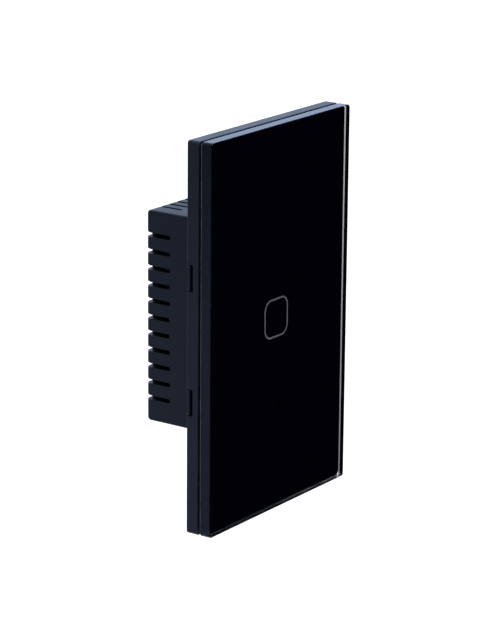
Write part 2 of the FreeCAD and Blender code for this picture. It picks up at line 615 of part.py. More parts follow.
def base_plate():
    plate = pad(BASE_WIDTH, BASE_HEIGHT, BASE_FRONT, WALL, corner=BASE_CORNER)
    tongue_width = PANEL_WIDTH - 2 * TONGUE_INSET
    tongue_length = NOTCH_LENGTH - 2 * TONGUE_PLAY
    tongue_front = WALL - TONGUE_THICKNESS
    tongues = []
    pry_rooms = []
    for z in (-NOTCH_Z, NOTCH_Z):
        tongue = block(span(0, tongue_width), (tongue_front, WALL), span(z, tongue_length))
        tongues.append(tongue.makeChamfer(TONGUE_CHAMFER, edges_along(tongue, 1)))
        for side in (-1, 1):
            room_x = span(side * (BASE_WIDTH - PRY_DEPTH) / 2, PRY_DEPTH)
            pry_rooms.append(block(room_x, (BASE_FRONT, tongue_front), span(z, NOTCH_LENGTH)))
    seat_width = BOX_WIDTH + 2 * HOUSING_SEAT_PLAY
    seat_height = BOX_HEIGHT + 2 * HOUSING_SEAT_PLAY
    seat = pad(seat_width, seat_height, HOUSING_SEAT, WALL, corner=BOX_CORNER + HOUSING_SEAT_PLAY)
    solids = [joined([plate] + tongues).cut([seat] + pry_rooms)]
    collar_rear = TOUCH_BOARD_FRONT - COLLAR_GAP
    collar_size = WINDOW_SIZE + 2 * COLLAR_WALL
    solids.append(pad(collar_size, collar_size, HOUSING_SEAT, collar_rear, corner=WINDOW_CORNER + COLLAR_WALL))
    solids += [pin(BOSS_RADIUS, HOUSING_SEAT, BOSS_LENGTH, x, z) for x, z in four_corners(BOSS_X, BOSS_Z)]
    solids += [
        pin(STANDOFF_RADIUS, HOUSING_SEAT, TOUCH_BOARD_FRONT, x, z)
        for x, z in four_corners(TOUCH_SCREW_X, TOUCH_SCREW_Z)
    ]
    posts = post_places() + [relay_post_place()]
    solids += [pin(POST_RADIUS, HOUSING_SEAT, POWER_BOARD_FRONT, x, z) for x, z in posts]
    cuts = [pad(WINDOW_SIZE, WINDOW_SIZE, BASE_FRONT, collar_rear, corner=WINDOW_CORNER)]
    for z in (-WALL_SCREW_SPACING / 2, WALL_SCREW_SPACING / 2):
        seat = WALL - WALL_SEAT_THICKNESS
        width = WALL_SLOT_WIDTH + 2 * WALL_SEAT_MARGIN
        length = WALL_SLOT_LENGTH + 2 * WALL_SEAT_MARGIN
        cuts.append(long_hole(width, length, BASE_FRONT, seat, 0, z))
        cuts.append(long_hole(WALL_SLOT_WIDTH, WALL_SLOT_LENGTH, seat, WALL, 0, z))
    cuts += [placed(hook_socket(), x, z, turn) for x, z, turn in hook_places()]
    hole = HOUSING_SCREW_RADIUS + SCREW_HOLE_PLAY
    cuts += [pin(hole, HOUSING_SCREW_TIP / 2, BOSS_LENGTH, x, z) for x, z in four_corners(BOSS_X, BOSS_Z)]
    hole = BOARD_SCREW_RADIUS + SCREW_HOLE_PLAY
    cuts += [
        pin(hole, BASE_FRONT / 2, TOUCH_BOARD_FRONT, x, z) for x, z in four_corners(TOUCH_SCREW_X, TOUCH_SCREW_Z)
    ]
    cuts += [pin(hole, WALL + STANDOFF, POWER_BOARD_FRONT, x, z) for x, z in post_places()]
    return joined(solids).cut(cuts)


def side_vent(wrap):
    """The cutter of one vent on the right side: through the side wall and round the rear edge."""
    width = VENT_WIDTH
    outer = BOX_WIDTH / 2
    front = BOX_REAR - VENT_LENGTH + width / 2
    through_side = block((outer - BOX_WALL, outer + 1), (front, BOX_REAR + 1), span(0, width))
    round_end = Part.makeCylinder(width / 2, BOX_WALL + 1, Vector(outer - BOX_WALL, front, 0), Vector(1, 0, 0))
    through_rear = block((outer - wrap, outer + 1), (BOX_REAR - BOX_WALL, BOX_REAR + 1), span(0, width))
    return joined([through_side, round_end, through_rear, vent_mouth(outer, width)])


def vent_mouth(outer, width):
    """The flare that opens a vent at the rounded edge, wide outside and as wide as the vent at its depth."""
    retreat = BOX_REAR_ROUND * (1 - math.sqrt(0.5))
    middle = Vector(outer - retreat, BOX_REAR - retreat, 0)
    outward = Vector(1, 1, 0).normalize()
    across = Vector(-1, 1, 0).normalize()
    start = middle - across * (BOX_REAR_ROUND + VENT_FLARE_DEPTH) / 2
    wide = width / 2 + 2 * VENT_FLARE
    deep = -VENT_FLARE_DEPTH
    sides = [(deep, width / 2), (VENT_FLARE_DEPTH, wide), (VENT_FLARE_DEPTH, -wide), (deep, -width / 2)]
    corners = [start + outward * step + Vector(0, 0, z) for step, z in sides]
    length = BOX_REAR_ROUND + VENT_FLARE_DEPTH
    return Part.Face(Part.makePolygon(corners + corners[:1])).extrude(across * length)


def vents():
    """All vent cutters: a row down each side and a row along the top."""
    cutters = []
    cutter = side_vent(SIDE_VENT_WRAP)
    for row in range(SIDE_VENT_COUNT):
        z = (row - (SIDE_VENT_COUNT - 1) / 2) * SIDE_VENT_PITCH
        cutters.append(placed(cutter, 0, z, 0))
        cutters.append(placed(cutter, 0, z, 180))
    cutter = side_vent(TOP_VENT_WRAP)
    for column in range(TOP_VENT_COUNT):
        x = (column - (TOP_VENT_COUNT - 1) / 2) * TOP_VENT_PITCH
        cutters.append(placed(cutter, x, (BOX_HEIGHT - BOX_WIDTH) / 2, -90))
    return cutters


def rear_housing():
    box = pad(BOX_WIDTH, BOX_HEIGHT, HOUSING_SEAT, BOX_REAR)
    box = box.makeFillet(BOX_REAR_ROUND, edges_at(box, 1, BOX_REAR))
    box = box.makeFillet(BOX_CORNER, edges_along(box, 1))
    box = box.cut(pad(2 * BOX_INNER_X, 2 * BOX_INNER_Z, HOUSING_SEAT, BOX_INNER_REAR))
    tubes = []
    for x, z in four_corners(BOSS_X, BOSS_Z):
        tubes.append(pin(TUBE_RADIUS, BOSS_LENGTH, BOX_INNER_REAR, x, z))
        web_x = sorted((x, math.copysign(BOX_INNER_X, x)))
        web_z = sorted((z, math.copysign(BOX_INNER_Z, z)))
        tubes.append(block(web_x, (BOSS_LENGTH, BOX_INNER_REAR), web_z))
    box = joined([box] + tubes)
    cuts = vents()
    head_seat = BOX_REAR - HOUSING_SCREW_SEAT_DEPTH
    for x, z in four_corners(BOSS_X, BOSS_Z):
        cuts.append(pin(HOUSING_SCREW_RADIUS + SCREW_PASS_PLAY, BOSS_LENGTH, head_seat, x, z))
        cuts.append(pin(HOUSING_SCREW_HEAD_RADIUS + SCREW_PASS_PLAY, head_seat, BOX_REAR, x, z))
    cutout_width = TERMINAL_WIDTH + 2 * TERMINAL_CUTOUT_PLAY
    cutout_front = POWER_BOARD_REAR - TERMINAL_CUTOUT_PLAY
    cutout_high = TERMINAL_HIGH + TERMINAL_CUTOUT_PLAY
    cuts.append(block(span(0, cutout_width), (cutout_front, BOX_REAR), (-BOX_HEIGHT / 2, cutout_high)))
    return box.cut(cuts)


def housing_screws():
    screws = []
    head_seat = BOX_REAR - HOUSING_SCREW_SEAT_DEPTH
    for x, z in four_corners(BOSS_X, BOSS_Z):
        shank = pin(HOUSING_SCREW_RADIUS, HOUSING_SCREW_TIP, head_seat, x, z)
        head = screw_head(HOUSING_SCREW_HEAD_RADIUS, HOUSING_SCREW_HEAD, head_seat, x, z)
        screws.append(joined([shank, head]))
    return Part.makeCompound(screws)


# Touch board

def touch_board():
    board = pad(TOUCH_BOARD_WIDTH, TOUCH_BOARD_HEIGHT, TOUCH_BOARD_FRONT, TOUCH_BOARD_REAR, corner=BOARD_CORNER)
    hole = BOARD_SCREW_RADIUS + SCREW_PASS_PLAY
    holes = [
        pin(hole, TOUCH_BOARD_FRONT, TOUCH_BOARD_REAR, x, z) for x, z in four_corners(TOUCH_SCREW_X, TOUCH_SCREW_Z)
    ]
    tail = SPRING_WIRE / 2 + LEAD_PLAY
    holes.append(pin(tail, TOUCH_BOARD_FRONT, TOUCH_BOARD_REAR, SPRING_RADIUS, spring_tail_z()))
    pin_hole = HEADER_PIN + 2 * LEAD_PLAY
    for x in header_places():
        holes.append(pad(pin_hole, pin_hole, TOUCH_BOARD_FRONT, TOUCH_BOARD_REAR, x, HEADER_Z))
    return board.cut(holes)


def touch_board_screws():
    screws = []
    for x, z in four_corners(TOUCH_SCREW_X, TOUCH_SCREW_Z):
        shank = pin(BOARD_SCREW_RADIUS, WALL - BASE_THICKNESS / 4, TOUCH_BOARD_REAR, x, z)
        head = screw_head(BOARD_SCREW_HEAD_RADIUS, BOARD_SCREW_HEAD, TOUCH_BOARD_REAR, x, z)
        screws.append(joined([shank, head]))
    return Part.makeCompound(screws)


def tangent_arc(start, end, corner):
    """The arc between two points whose end tangents meet at a corner."""
    middle = (start + end) * 0.5
    half_chord = start.distanceToPoint(end) / 2
    outward = corner - middle
    half_turn = math.atan2(outward.Length, half_chord)
    bulge = outward.normalize() * (half_chord * math.tan(half_turn / 2))
    return Part.Arc(start, middle + bulge, end).toShape()


def biarc(start, start_way, end, end_way):
    """Two tangent arcs between two points with the given directions."""
    gap = end - start
    bend = 1 - start_way.dot(end_way)
    along = gap.dot(start_way + end_way)
    reach = (math.sqrt(along ** 2 + 2 * bend * gap.dot(gap)) - along) / (2 * bend)
    first = start + start_way * reach
    second = end - end_way * reach
    meeting = (first + second) * 0.5
    return [tangent_arc(start, meeting, first), tangent_arc(meeting, end, second)]


def spring_limits():
    """Where the spring's coil starts and ends along Y, and its pitch."""
    start = TOUCH_BOARD_FRONT - SPRING_LIFT
    end = PRINT_REAR + SPRING_GAP + SPRING_WIRE / 2
    return start, end, (start - end) / SPRING_TURNS


def coil_point(turn):
    """The point and direction of the spring's wire after some turns."""
    start, _, pitch = spring_limits()
    angle = 2 * math.pi * turn
    point = Vector(SPRING_RADIUS * math.cos(angle), start - pitch * turn, SPRING_RADIUS * math.sin(angle))
    way = Vector(-SPRING_RADIUS * math.sin(angle), -pitch / (2 * math.pi), SPRING_RADIUS * math.cos(angle))
    return point, way.normalize()


def spring_tail():
    """The tail's bend below the coil: its upper end, its corner and its lower end."""
    coil_start, coil_way = coil_point(0)
    tail_way = Vector(0, -1, 0)
    turn = math.acos(coil_way.dot(tail_way))
    reach = SPRING_BEND * math.tan(turn / 2)
    corner = coil_start - coil_way * reach
    return coil_start, corner, corner - tail_way * reach


def spring_tail_z():
    """Where the spring's tail passes the touch board."""
    return spring_tail()[2].z


def touch_spring():
    coil_start, corner, bend_end = spring_tail()
    tail_end = Vector(bend_end.x, TOUCH_BOARD_REAR + LEAD_TAIL / 2, bend_end.z)
    edges = [Part.LineSegment(tail_end, bend_end).toShape(), tangent_arc(bend_end, coil_start, corner)]
    for quarter in range(4 * SPRING_TURNS):
        start, start_way = coil_point(quarter / 4)
        end, end_way = coil_point((quarter + 1) / 4)
        edges += biarc(start, start_way, end, end_way)
    path = Part.Wire(edges)
    section = Part.Wire(Part.makeCircle(SPRING_WIRE / 2, tail_end, Vector(0, -1, 0)))
    print("touch spring least gap between turns: %.2f" % spring_gap())
    return path.makePipeShell([section], True, False)


def spring_gap():
    """The least distance between the wire's surfaces in neighbouring turns, measured on points."""
    points = [coil_point(step / 24)[0] for step in range(24 * SPRING_TURNS + 1)]
    least = min(a.distanceToPoint(b) for i, a in enumerate(points) for b in points[i + 12:])
    return least - SPRING_WIRE


def led(z):
    front = TOUCH_BOARD_FRONT - LED_HEIGHT
    body = pad(LED_SIZE, LED_SIZE, front, TOUCH_BOARD_FRONT, 0, z, LED_SIZE / 8)
    lens = turned([(0, 0), (LED_SIZE * 0.4, 0), (LED_SIZE * 0.35, LED_HEIGHT / 4), (0, LED_HEIGHT / 4)], 0, z, front)
    return body.cut(lens)


def chip(width, length, height, face, away, x, z, leads=CHIP_LEADS):
    """A moulded chip on a board's face, with a row of leads down each long side."""
    top = face + away * height
    front, rear = sorted((face + away * CHIP_LEAD / 4, top))
    body = pad(width, length, front, rear, x, z)
    body = body.makeChamfer(height / 8, edges_at(body, 1, top))
    lead_front, lead_rear = sorted((face, face + away * height / 2))
    solids = [body]
    for number in range(leads):
        lead_z = z + (number - (leads - 1) / 2) * length / leads
        reach = width + 2 * CHIP_LEAD_REACH
        foot = block(span(x, reach), sorted((face, face + away * CHIP_LEAD / 2)), span(lead_z, CHIP_LEAD))
        leg = block(span(x, width + CHIP_LEAD), (lead_front, lead_rear), span(lead_z, CHIP_LEAD))
        solids += [foot, leg]
    return joined(solids)


def touch_chip():
    return chip(TOUCH_CHIP_WIDTH, TOUCH_CHIP_LENGTH, TOUCH_CHIP_HEIGHT, TOUCH_BOARD_FRONT, -1, 0, TOUCH_CHIP_Z)


def radio_board():
    rear = TOUCH_BOARD_REAR + RADIO_THICKNESS
    return pad(RADIO_WIDTH, RADIO_HEIGHT, TOUCH_BOARD_REAR, rear, 0, RADIO_Z, RADIO_THICKNESS / 4)


def radio_shield():
    front = TOUCH_BOARD_REAR + RADIO_THICKNESS
    rear = front + SHIELD_DEPTH
    can = pad(SHIELD_WIDTH, SHIELD_HEIGHT, front, rear, 0, SHIELD_Z, SHIELD_CORNER)
    return can.makeChamfer(SHIELD_CORNER / 4, edges_at(can, 1, rear))


def header_places():
    """The X places of the header's pins."""
    return [(number - (HEADER_PINS - 1) / 2) * HEADER_PITCH for number in range(HEADER_PINS)]


def board_header():
    rear = TOUCH_BOARD_REAR + HEADER_BASE
    strip = pad(HEADER_PINS * HEADER_PITCH, HEADER_WIDTH, TOUCH_BOARD_REAR, rear, 0, HEADER_Z)
    strip = strip.makeChamfer(HEADER_WIDTH / 8, edges_along(strip, 1))
    return strip.cut([pad(HEADER_PIN, HEADER_PIN, TOUCH_BOARD_REAR, rear, x, HEADER_Z) for x in header_places()])


def header_pins():
    front = TOUCH_BOARD_FRONT - LEAD_TAIL
    rear = POWER_BOARD_FRONT - LEAD_TAIL / 2
    return Part.makeCompound([pad(HEADER_PIN, HEADER_PIN, front, rear, x, HEADER_Z) for x in header_places()])


def board_socket():
    front = TOUCH_BOARD_REAR + HEADER_BASE
    body = pad(HEADER_PINS * HEADER_PITCH, HEADER_WIDTH, front, POWER_BOARD_FRONT, 0, HEADER_Z)
    hole = HEADER_PIN + 2 * LEAD_PLAY
    return body.cut([pad(hole, hole, front, POWER_BOARD_FRONT, x, HEADER_Z) for x in header_places()])


# Power board

def power_board():
    width = 2 * (BOX_INNER_X - POWER_BOARD_PLAY)
    height = 2 * (BOX_INNER_Z - POWER_BOARD_PLAY)
    board = pad(width, height, POWER_BOARD_FRONT, POWER_BOARD_REAR)
    cuts = []
    for x, z in four_corners(BOSS_X, BOSS_Z):
        reach = TUBE_RADIUS + POWER_BOARD_PLAY
        cut_x = sorted((x - math.copysign(reach, x), math.copysign(BOX_INNER_X, x)))
        cut_z = sorted((z - math.copysign(reach, z), math.copysign(BOX_INNER_Z, z)))
        cuts.append(block(cut_x, (POWER_BOARD_FRONT, POWER_BOARD_REAR), cut_z))
    hole = BOARD_SCREW_RADIUS + SCREW_PASS_PLAY
    cuts += [pin(hole, POWER_BOARD_FRONT, POWER_BOARD_REAR, x, z) for x, z in post_places()]
    for x, z, wide, deep in power_leads():
        wide_hole = wide + 2 * LEAD_PLAY
        deep_hole = deep + 2 * LEAD_PLAY
        cuts.append(pad(wide_hole, deep_hole, POWER_BOARD_FRONT, POWER_BOARD_REAR, x, z))
    return board.cut(cuts)


def power_leads():
    """Each lead that passes the power board: its place, width and depth."""
    leads = [(x, bar_leg_z(), BAR_WIDTH, BAR_THICKNESS) for x in terminal_places()]
    leads.append((CONTACT_X, BLADE_HIGH - CONTACT_BLADE_THICKNESS / 2, CONTACT_BLADE_WIDTH, CONTACT_BLADE_THICKNESS))
    leads.append((yoke_tail_x(), YOKE_LOW + YOKE_THICKNESS / 2, YOKE_THICKNESS, YOKE_THICKNESS))
    leads += [(x, coil_pin_z(), COIL_PIN, COIL_PIN) for x in coil_pin_places()]
    return leads


def power_board_screws():
    screws = []
    for x, z in post_places():
        shank = pin(BOARD_SCREW_RADIUS, POWER_BOARD_FRONT - BOARD_GAP, POWER_BOARD_REAR, x, z)
        head = screw_head(BOARD_SCREW_HEAD_RADIUS, BOARD_SCREW_HEAD, POWER_BOARD_REAR, x, z)
        screws.append(joined([shank, head]))
    return Part.makeCompound(screws)


# Terminal block

def terminal_places():
    """The X places of the terminals."""
    count = len(TERMINAL_NAMES)
    return [(number - (count - 1) / 2) * TERMINAL_PITCH for number in range(count)]


def bar_leg_z():
    """The middle of a bar's leg, against the pocket's back wall."""
    return POCKET_HIGH - LEAD_PLAY - BAR_THICKNESS / 2


def terminal_body():
    body = block(span(0, TERMINAL_WIDTH), (POWER_BOARD_REAR, TERMINAL_REAR), (TERMINAL_LOW, TERMINAL_HIGH))
    pocket_width = CAGE_WIDTH + 2 * CAGE_PLAY
    cuts = []
    for x in terminal_places():
        cuts.append(block(span(x, pocket_width), (POWER_BOARD_REAR, SHELF_FRONT), (POCKET_LOW, POCKET_HIGH)))
        cuts.append(block(span(x, ENTRY_WIDTH), (WIRE_FRONT, WIRE_REAR), (TERMINAL_LOW, POCKET_LOW)))
        neck = TERMINAL_SCREW_RADIUS + CAGE_PLAY
        cuts.append(pin(neck, SHELF_FRONT, SHELF_REAR, x, CAGE_MIDDLE))
        well = TERMINAL_SCREW_HEAD_RADIUS + CAGE_PLAY
        cuts.append(pin(well, SHELF_REAR, TERMINAL_REAR, x, CAGE_MIDDLE))
    return body.cut(cuts)


def terminal_bar(x):
    shelf = block(span(x, BAR_WIDTH), (WIRE_REAR, BAR_REAR), (POCKET_LOW + CAGE_PLAY, bar_leg_z() + BAR_THICKNESS / 2))
    leg_front = POWER_BOARD_FRONT - LEAD_TAIL
    leg = block(span(x, BAR_WIDTH), (leg_front, BAR_REAR), span(bar_leg_z(), BAR_THICKNESS))
    return joined([shelf, leg])


def terminal_clamp(x):
    cage = block(span(x, CAGE_WIDTH), (CAGE_FRONT, CAGE_REAR), (CAGE_LOW, CAGE_HIGH))
    opening = block(span(x, CAGE_WIDTH - 2 * CAGE_WALL), (WIRE_FRONT, CAGE_HEAD_FRONT), (CAGE_LOW, CAGE_HIGH))
    thread = pin(TERMINAL_SCREW_RADIUS + THREAD_PLAY, CAGE_HEAD_FRONT, CAGE_REAR, x, CAGE_MIDDLE)
    return cage.cut([opening, thread])


def terminal_screw(x):
    shank = pin(TERMINAL_SCREW_RADIUS, CAGE_HEAD_FRONT, SHELF_REAR + THREAD_PLAY, x, CAGE_MIDDLE)
    front = SHELF_REAR + THREAD_PLAY
    head = screw_head(
        TERMINAL_SCREW_HEAD_RADIUS, TERMINAL_SCREW_HEAD, front, x, CAGE_MIDDLE, TERMINAL_SCREW_SLOT
    )
    return joined([shank, head])


# Relay

def yoke_tail_x():
    """Where the yoke's tail passes the relay's floor."""
    return YOKE_INNER_X + YOKE_THICKNESS / 2


def coil_pin_places():
    """The X places of the coil's two pins."""
    return [COIL_X - COIL_WIDTH / 4, COIL_X + COIL_WIDTH / 4]


def coil_pin_z():
    """The coil's pins stand in its lower flange."""
    return COIL_LOW + COIL_FLANGE_THICKNESS / 2


def relay_base():
    width = RELAY_INNER_WIDTH - 2 * RELAY_PLAY
    length = RELAY_INNER_LENGTH - 2 * RELAY_PLAY
    floor = pad(width, length, POWER_BOARD_REAR, RELAY_FLOOR_REAR, RELAY_X, RELAY_Z)
    cuts = []
    for x, z, wide, deep in power_leads()[len(TERMINAL_NAMES):]:
        cuts.append(pad(wide + LEAD_PLAY, deep + LEAD_PLAY, POWER_BOARD_REAR, RELAY_FLOOR_REAR, x, z))
    return floor.cut(cuts)


def relay_case():
    shell = pad(RELAY_WIDTH, RELAY_LENGTH, POWER_BOARD_REAR, RELAY_TOP, RELAY_X, RELAY_Z, RELAY_WALL)
    shell = shell.makeFillet(RELAY_WALL / 2, edges_at(shell, 1, RELAY_TOP))
    hollow_rear = RELAY_TOP - RELAY_WALL
    shell = shell.cut(
        pad(RELAY_INNER_WIDTH, RELAY_INNER_LENGTH, POWER_BOARD_REAR, hollow_rear, RELAY_X, RELAY_Z)
    )
    stop_low = LEAF_HIGH + leaf_swing() + 2 * RELAY_PLAY
    stop_high = RELAY_Z + RELAY_INNER_LENGTH / 2
    stop_middle = (COIL_Y + hollow_rear) / 2
    stop = block(span(CONTACT_X, 2 * CONTACT_RADIUS), (stop_middle, hollow_rear), (stop_low, stop_high))
    return joined([shell, stop])


def leaf_swing():
    """How far the leaf's end rises when the armature is released."""
    return (YOKE_OUTER_X - CONTACT_X + CONTACT_RADIUS) * math.sin(math.radians(ARMATURE_OPEN_ANGLE))


def relay_bobbin():
    barrel = upright(COIL_BARREL_RADIUS, COIL_LOW, COIL_HIGH, COIL_X, COIL_Y)
    flanges = []
    for low in (COIL_LOW, COIL_HIGH - COIL_FLANGE_THICKNESS):
        z_span = (low, low + COIL_FLANGE_THICKNESS)
        flanges.append(block(span(COIL_X, COIL_WIDTH), span(COIL_Y, COIL_DEPTH), z_span))
    bobbin = joined([barrel] + flanges)
    cuts = [upright(CORE_RADIUS + SCREW_HOLE_PLAY, COIL_LOW, COIL_HIGH, COIL_X, COIL_Y)]
    flange_front = COIL_Y - COIL_DEPTH / 2
    pin_rear = flange_front + COIL_PIN_DEPTH
    cuts += [pad(COIL_PIN, COIL_PIN, flange_front, pin_rear, x, coil_pin_z()) for x in coil_pin_places()]
    return bobbin.cut(cuts)


def relay_winding():
    low = COIL_LOW + COIL_FLANGE_THICKNESS
    high = COIL_HIGH - COIL_FLANGE_THICKNESS
    winding = upright(COIL_WINDING_RADIUS, low, high, COIL_X, COIL_Y)
    return winding.cut(upright(COIL_BARREL_RADIUS, low, high, COIL_X, COIL_Y))


def relay_core():
    stem = upright(CORE_RADIUS, COIL_LOW, COIL_HIGH, COIL_X, COIL_Y)
    pole = upright(POLE_RADIUS, COIL_HIGH, POLE_FACE, COIL_X, COIL_Y)
    return joined([stem, pole])


def relay_yoke():
    back_x = (COIL_X - POLE_RADIUS, YOKE_OUTER_X)
    y_span = span(COIL_Y, YOKE_WIDTH)
    back = block(back_x, y_span, (YOKE_LOW, COIL_LOW))
    leg = block((YOKE_INNER_X, YOKE_OUTER_X), y_span, (YOKE_LOW, POLE_FACE))
    tail_front = POWER_BOARD_FRONT - LEAD_TAIL
    tail = pad(YOKE_THICKNESS, YOKE_THICKNESS, tail_front, COIL_Y, yoke_tail_x(), YOKE_LOW + YOKE_THICKNESS / 2)
    return joined([back, leg, tail])


def released(shape):
    """A part of the armature, turned to where the return spring holds it."""
    copy = shape.copy()
    copy.rotate(Vector(YOKE_OUTER_X, COIL_Y, ARMATURE_LOW), Vector(0, 1, 0), ARMATURE_OPEN_ANGLE)
    return copy


def relay_armature():
    left = COIL_X - COIL_WIDTH / 2 - ARMATURE_OVERHANG
    plate = block((left, YOKE_OUTER_X), span(COIL_Y, YOKE_WIDTH), (ARMATURE_LOW, ARMATURE_HIGH))
    return released(plate.makeChamfer(YOKE_THICKNESS / 4, edges_along(plate, 2)))


def relay_contact_leaf():
    left = CONTACT_X - CONTACT_RADIUS
    leaf = block((left, COIL_X), span(COIL_Y, LEAF_WIDTH), (ARMATURE_HIGH, LEAF_HIGH))
    leaf = leaf.makeFillet(LEAF_WIDTH / 4, edges_along(leaf, 2))
    button = upright(CONTACT_RADIUS, ARMATURE_HIGH - CONTACT_THICKNESS, ARMATURE_HIGH, CONTACT_X, COIL_Y)
    rivet = upright(CONTACT_RADIUS / 2, LEAF_HIGH, LEAF_HIGH + LEAF_THICKNESS, COIL_X - POLE_RADIUS, COIL_Y)
    return released(joined([leaf, button, rivet]))


def relay_return_spring():
    """The bent leaf that holds the armature open: one leg on the armature, one beside the yoke."""
    outer = YOKE_OUTER_X + RETURN_SPRING_GAP
    top = block((COIL_X + RETURN_SPRING_INSET, outer), span(COIL_Y, LEAF_WIDTH), (ARMATURE_HIGH, LEAF_HIGH))
    top = released(top)
    side_high = max(v.Point.z for v in top.Vertexes if v.Point.x > YOKE_INNER_X)
    side_x = (outer, outer + LEAF_THICKNESS)
    side = block(side_x, span(COIL_Y, LEAF_WIDTH), (side_high - RETURN_SPRING_LENGTH, side_high))
    return joined([top, side])


def relay_fixed_contact():
    blade_z = (BLADE_HIGH - CONTACT_BLADE_THICKNESS, BLADE_HIGH)
    front = POWER_BOARD_FRONT - LEAD_TAIL
    rear = COIL_Y + 2 * CONTACT_RADIUS
    blade = block(span(CONTACT_X, CONTACT_BLADE_WIDTH), (front, rear), blade_z)
    button = upright(CONTACT_RADIUS, BLADE_HIGH, FIXED_CONTACT_HIGH, CONTACT_X, COIL_Y)
    return joined([blade, button])


def relay_coil_pins():
    front = POWER_BOARD_FRONT - LEAD_TAIL
    rear = COIL_Y - COIL_DEPTH / 2 + COIL_PIN_DEPTH
    return Part.makeCompound([pad(COIL_PIN, COIL_PIN, front, rear, x, coil_pin_z()) for x in coil_pin_places()])


# Transformer

def transformer_levels():
    """The front, middle and rear of the transformer's core along Y."""
    front = POWER_BOARD_REAR + TRANSFORMER_BASE
    return front, front + CORE_HEIGHT / 2, front + CORE_HEIGHT


def transformer_core():
    front, middle, rear = transformer_levels()
    core = block(span(TRANSFORMER_X, CORE_WIDTH), (front, rear), span(TRANSFORMER_Z, CORE_LENGTH))
    window_length = CORE_LENGTH - 2 * CORE_END
    windows = []
    for y_span in ((front + CORE_YOKE, middle - CORE_LEG / 2), (middle + CORE_LEG / 2, rear - CORE_YOKE)):
        windows.append(block(span(TRANSFORMER_X, CORE_WIDTH), y_span, span(TRANSFORMER_Z, window_length)))
    return core.cut(windows)


def leg_sleeve(build, length):
    """A block round the core's middle leg, with the leg's passage cut out."""
    _, middle, _ = transformer_levels()
    z_span = span(TRANSFORMER_Z, length)
    width = CORE_WIDTH + 2 * BOBBIN_PLAY
    leg = CORE_LEG + 2 * BOBBIN_PLAY
    height = min(leg + 2 * build, CORE_HEIGHT - 2 * CORE_YOKE - 2 * BOBBIN_PLAY)
    block_outer = block(span(TRANSFORMER_X, width + 2 * build), span(middle, height), z_span)
    return block_outer.makeFillet(BOBBIN_WALL, edges_along(block_outer, 2)), width, leg


def transformer_winding():
    length = CORE_LENGTH - 2 * CORE_END - 4 * BOBBIN_WALL
    outer, width, leg = leg_sleeve(WINDING_BUILD - BOBBIN_WALL / 2, length)
    _, middle, _ = transformer_levels()
    passage = block(span(TRANSFORMER_X, width), span(middle, leg), span(TRANSFORMER_Z, length))
    return outer.cut(passage)


def transformer_bobbin():
    _, middle, _ = transformer_levels()
    length = CORE_LENGTH - 2 * CORE_END - 2 * BOBBIN_PLAY
    outer, width, leg = leg_sleeve(WINDING_BUILD, length)
    winding_length = CORE_LENGTH - 2 * CORE_END - 4 * BOBBIN_WALL
    flanges = outer.cut(
        block(span(TRANSFORMER_X, 2 * width), span(middle, CORE_HEIGHT), span(TRANSFORMER_Z, winding_length))
    )
    passage = block(span(TRANSFORMER_X, width), span(middle, leg), span(TRANSFORMER_Z, length))
    base_y = (POWER_BOARD_REAR, POWER_BOARD_REAR + TRANSFORMER_BASE)
    base = block(span(TRANSFORMER_X, TRANSFORMER_WIDTH), base_y, span(TRANSFORMER_Z, CORE_LENGTH))
    sides = []
    flange_low = winding_length / 2
    for end in (-1, 1):
        for side in (-1, 1):
            x_span = sorted((TRANSFORMER_X + side * width / 2, TRANSFORMER_X + side * TRANSFORMER_WIDTH / 2))
            z_span = sorted((TRANSFORMER_Z + end * flange_low, TRANSFORMER_Z + end * length / 2))
            sides.append(block(x_span, (POWER_BOARD_REAR, middle), z_span))
    return joined([flanges, base] + sides).cut(passage)


# Loose parts on the power board

def electrolytic(radius, height, x, z):
    """An upright can with a rolled groove near its foot and a bevelled rim."""
    profile = [
        (0, 0),
        (radius * 0.95, 0),
        (radius, height * 0.03),
        (radius, height * 0.12),
        (radius * 0.9, height * 0.16),
        (radius, height * 0.2),
        (radius, height * 0.95),
        (radius * 0.9, height),
        (0, height),
    ]
    return turned(profile, x, z, POWER_BOARD_REAR)


def boxed_part(width, length, height, x, z):
    """A moulded box on the board, bevelled at the top and relieved underneath."""
    rear = POWER_BOARD_REAR + height
    case = pad(width, length, POWER_BOARD_REAR, rear, x, z)
    case = case.makeChamfer(min(width, length) / 10, edges_along(case, 1) + edges_at(case, 1, rear))
    relief_y = (POWER_BOARD_REAR, POWER_BOARD_REAR + FILM_CAPACITOR_RELIEF)
    return case.cut(block(span(x, width), relief_y, span(z, length * 0.7)))


def film_capacitor():
    return boxed_part(
        FILM_CAPACITOR_WIDTH, FILM_CAPACITOR_LENGTH, FILM_CAPACITOR_HEIGHT, FILM_CAPACITOR_X, FILM_CAPACITOR_Z
    )


def fuse():
    return boxed_part(FUSE_WIDTH, FUSE_LENGTH, FUSE_HEIGHT, RECTIFIER_X, FUSE_Z)


def varistor():
    radius = VARISTOR_RADIUS
    half = VARISTOR_THICKNESS / 2
    middle = POWER_BOARD_REAR + radius + LEAD_TAIL
    profile = [
        (0, -half),
        (radius * 0.85, -half),
        (radius, -half / 2),
        (radius, half / 2),
        (radius * 0.85, half),
        (0, half),
    ]
    points = [Vector(RECTIFIER_X + r, middle, VARISTOR_Z + h) for r, h in profile]
    disc = Part.Face(Part.makePolygon(points + points[:1]))
    disc = disc.revolve(Vector(RECTIFIER_X, middle, VARISTOR_Z), Vector(0, 0, 1), 360)
    lead_x = (RECTIFIER_X - radius / 2, RECTIFIER_X + radius / 2)
    leads = [pin(COIL_PIN / 2, POWER_BOARD_REAR, middle, x, VARISTOR_Z) for x in lead_x]
    return joined([disc] + leads)


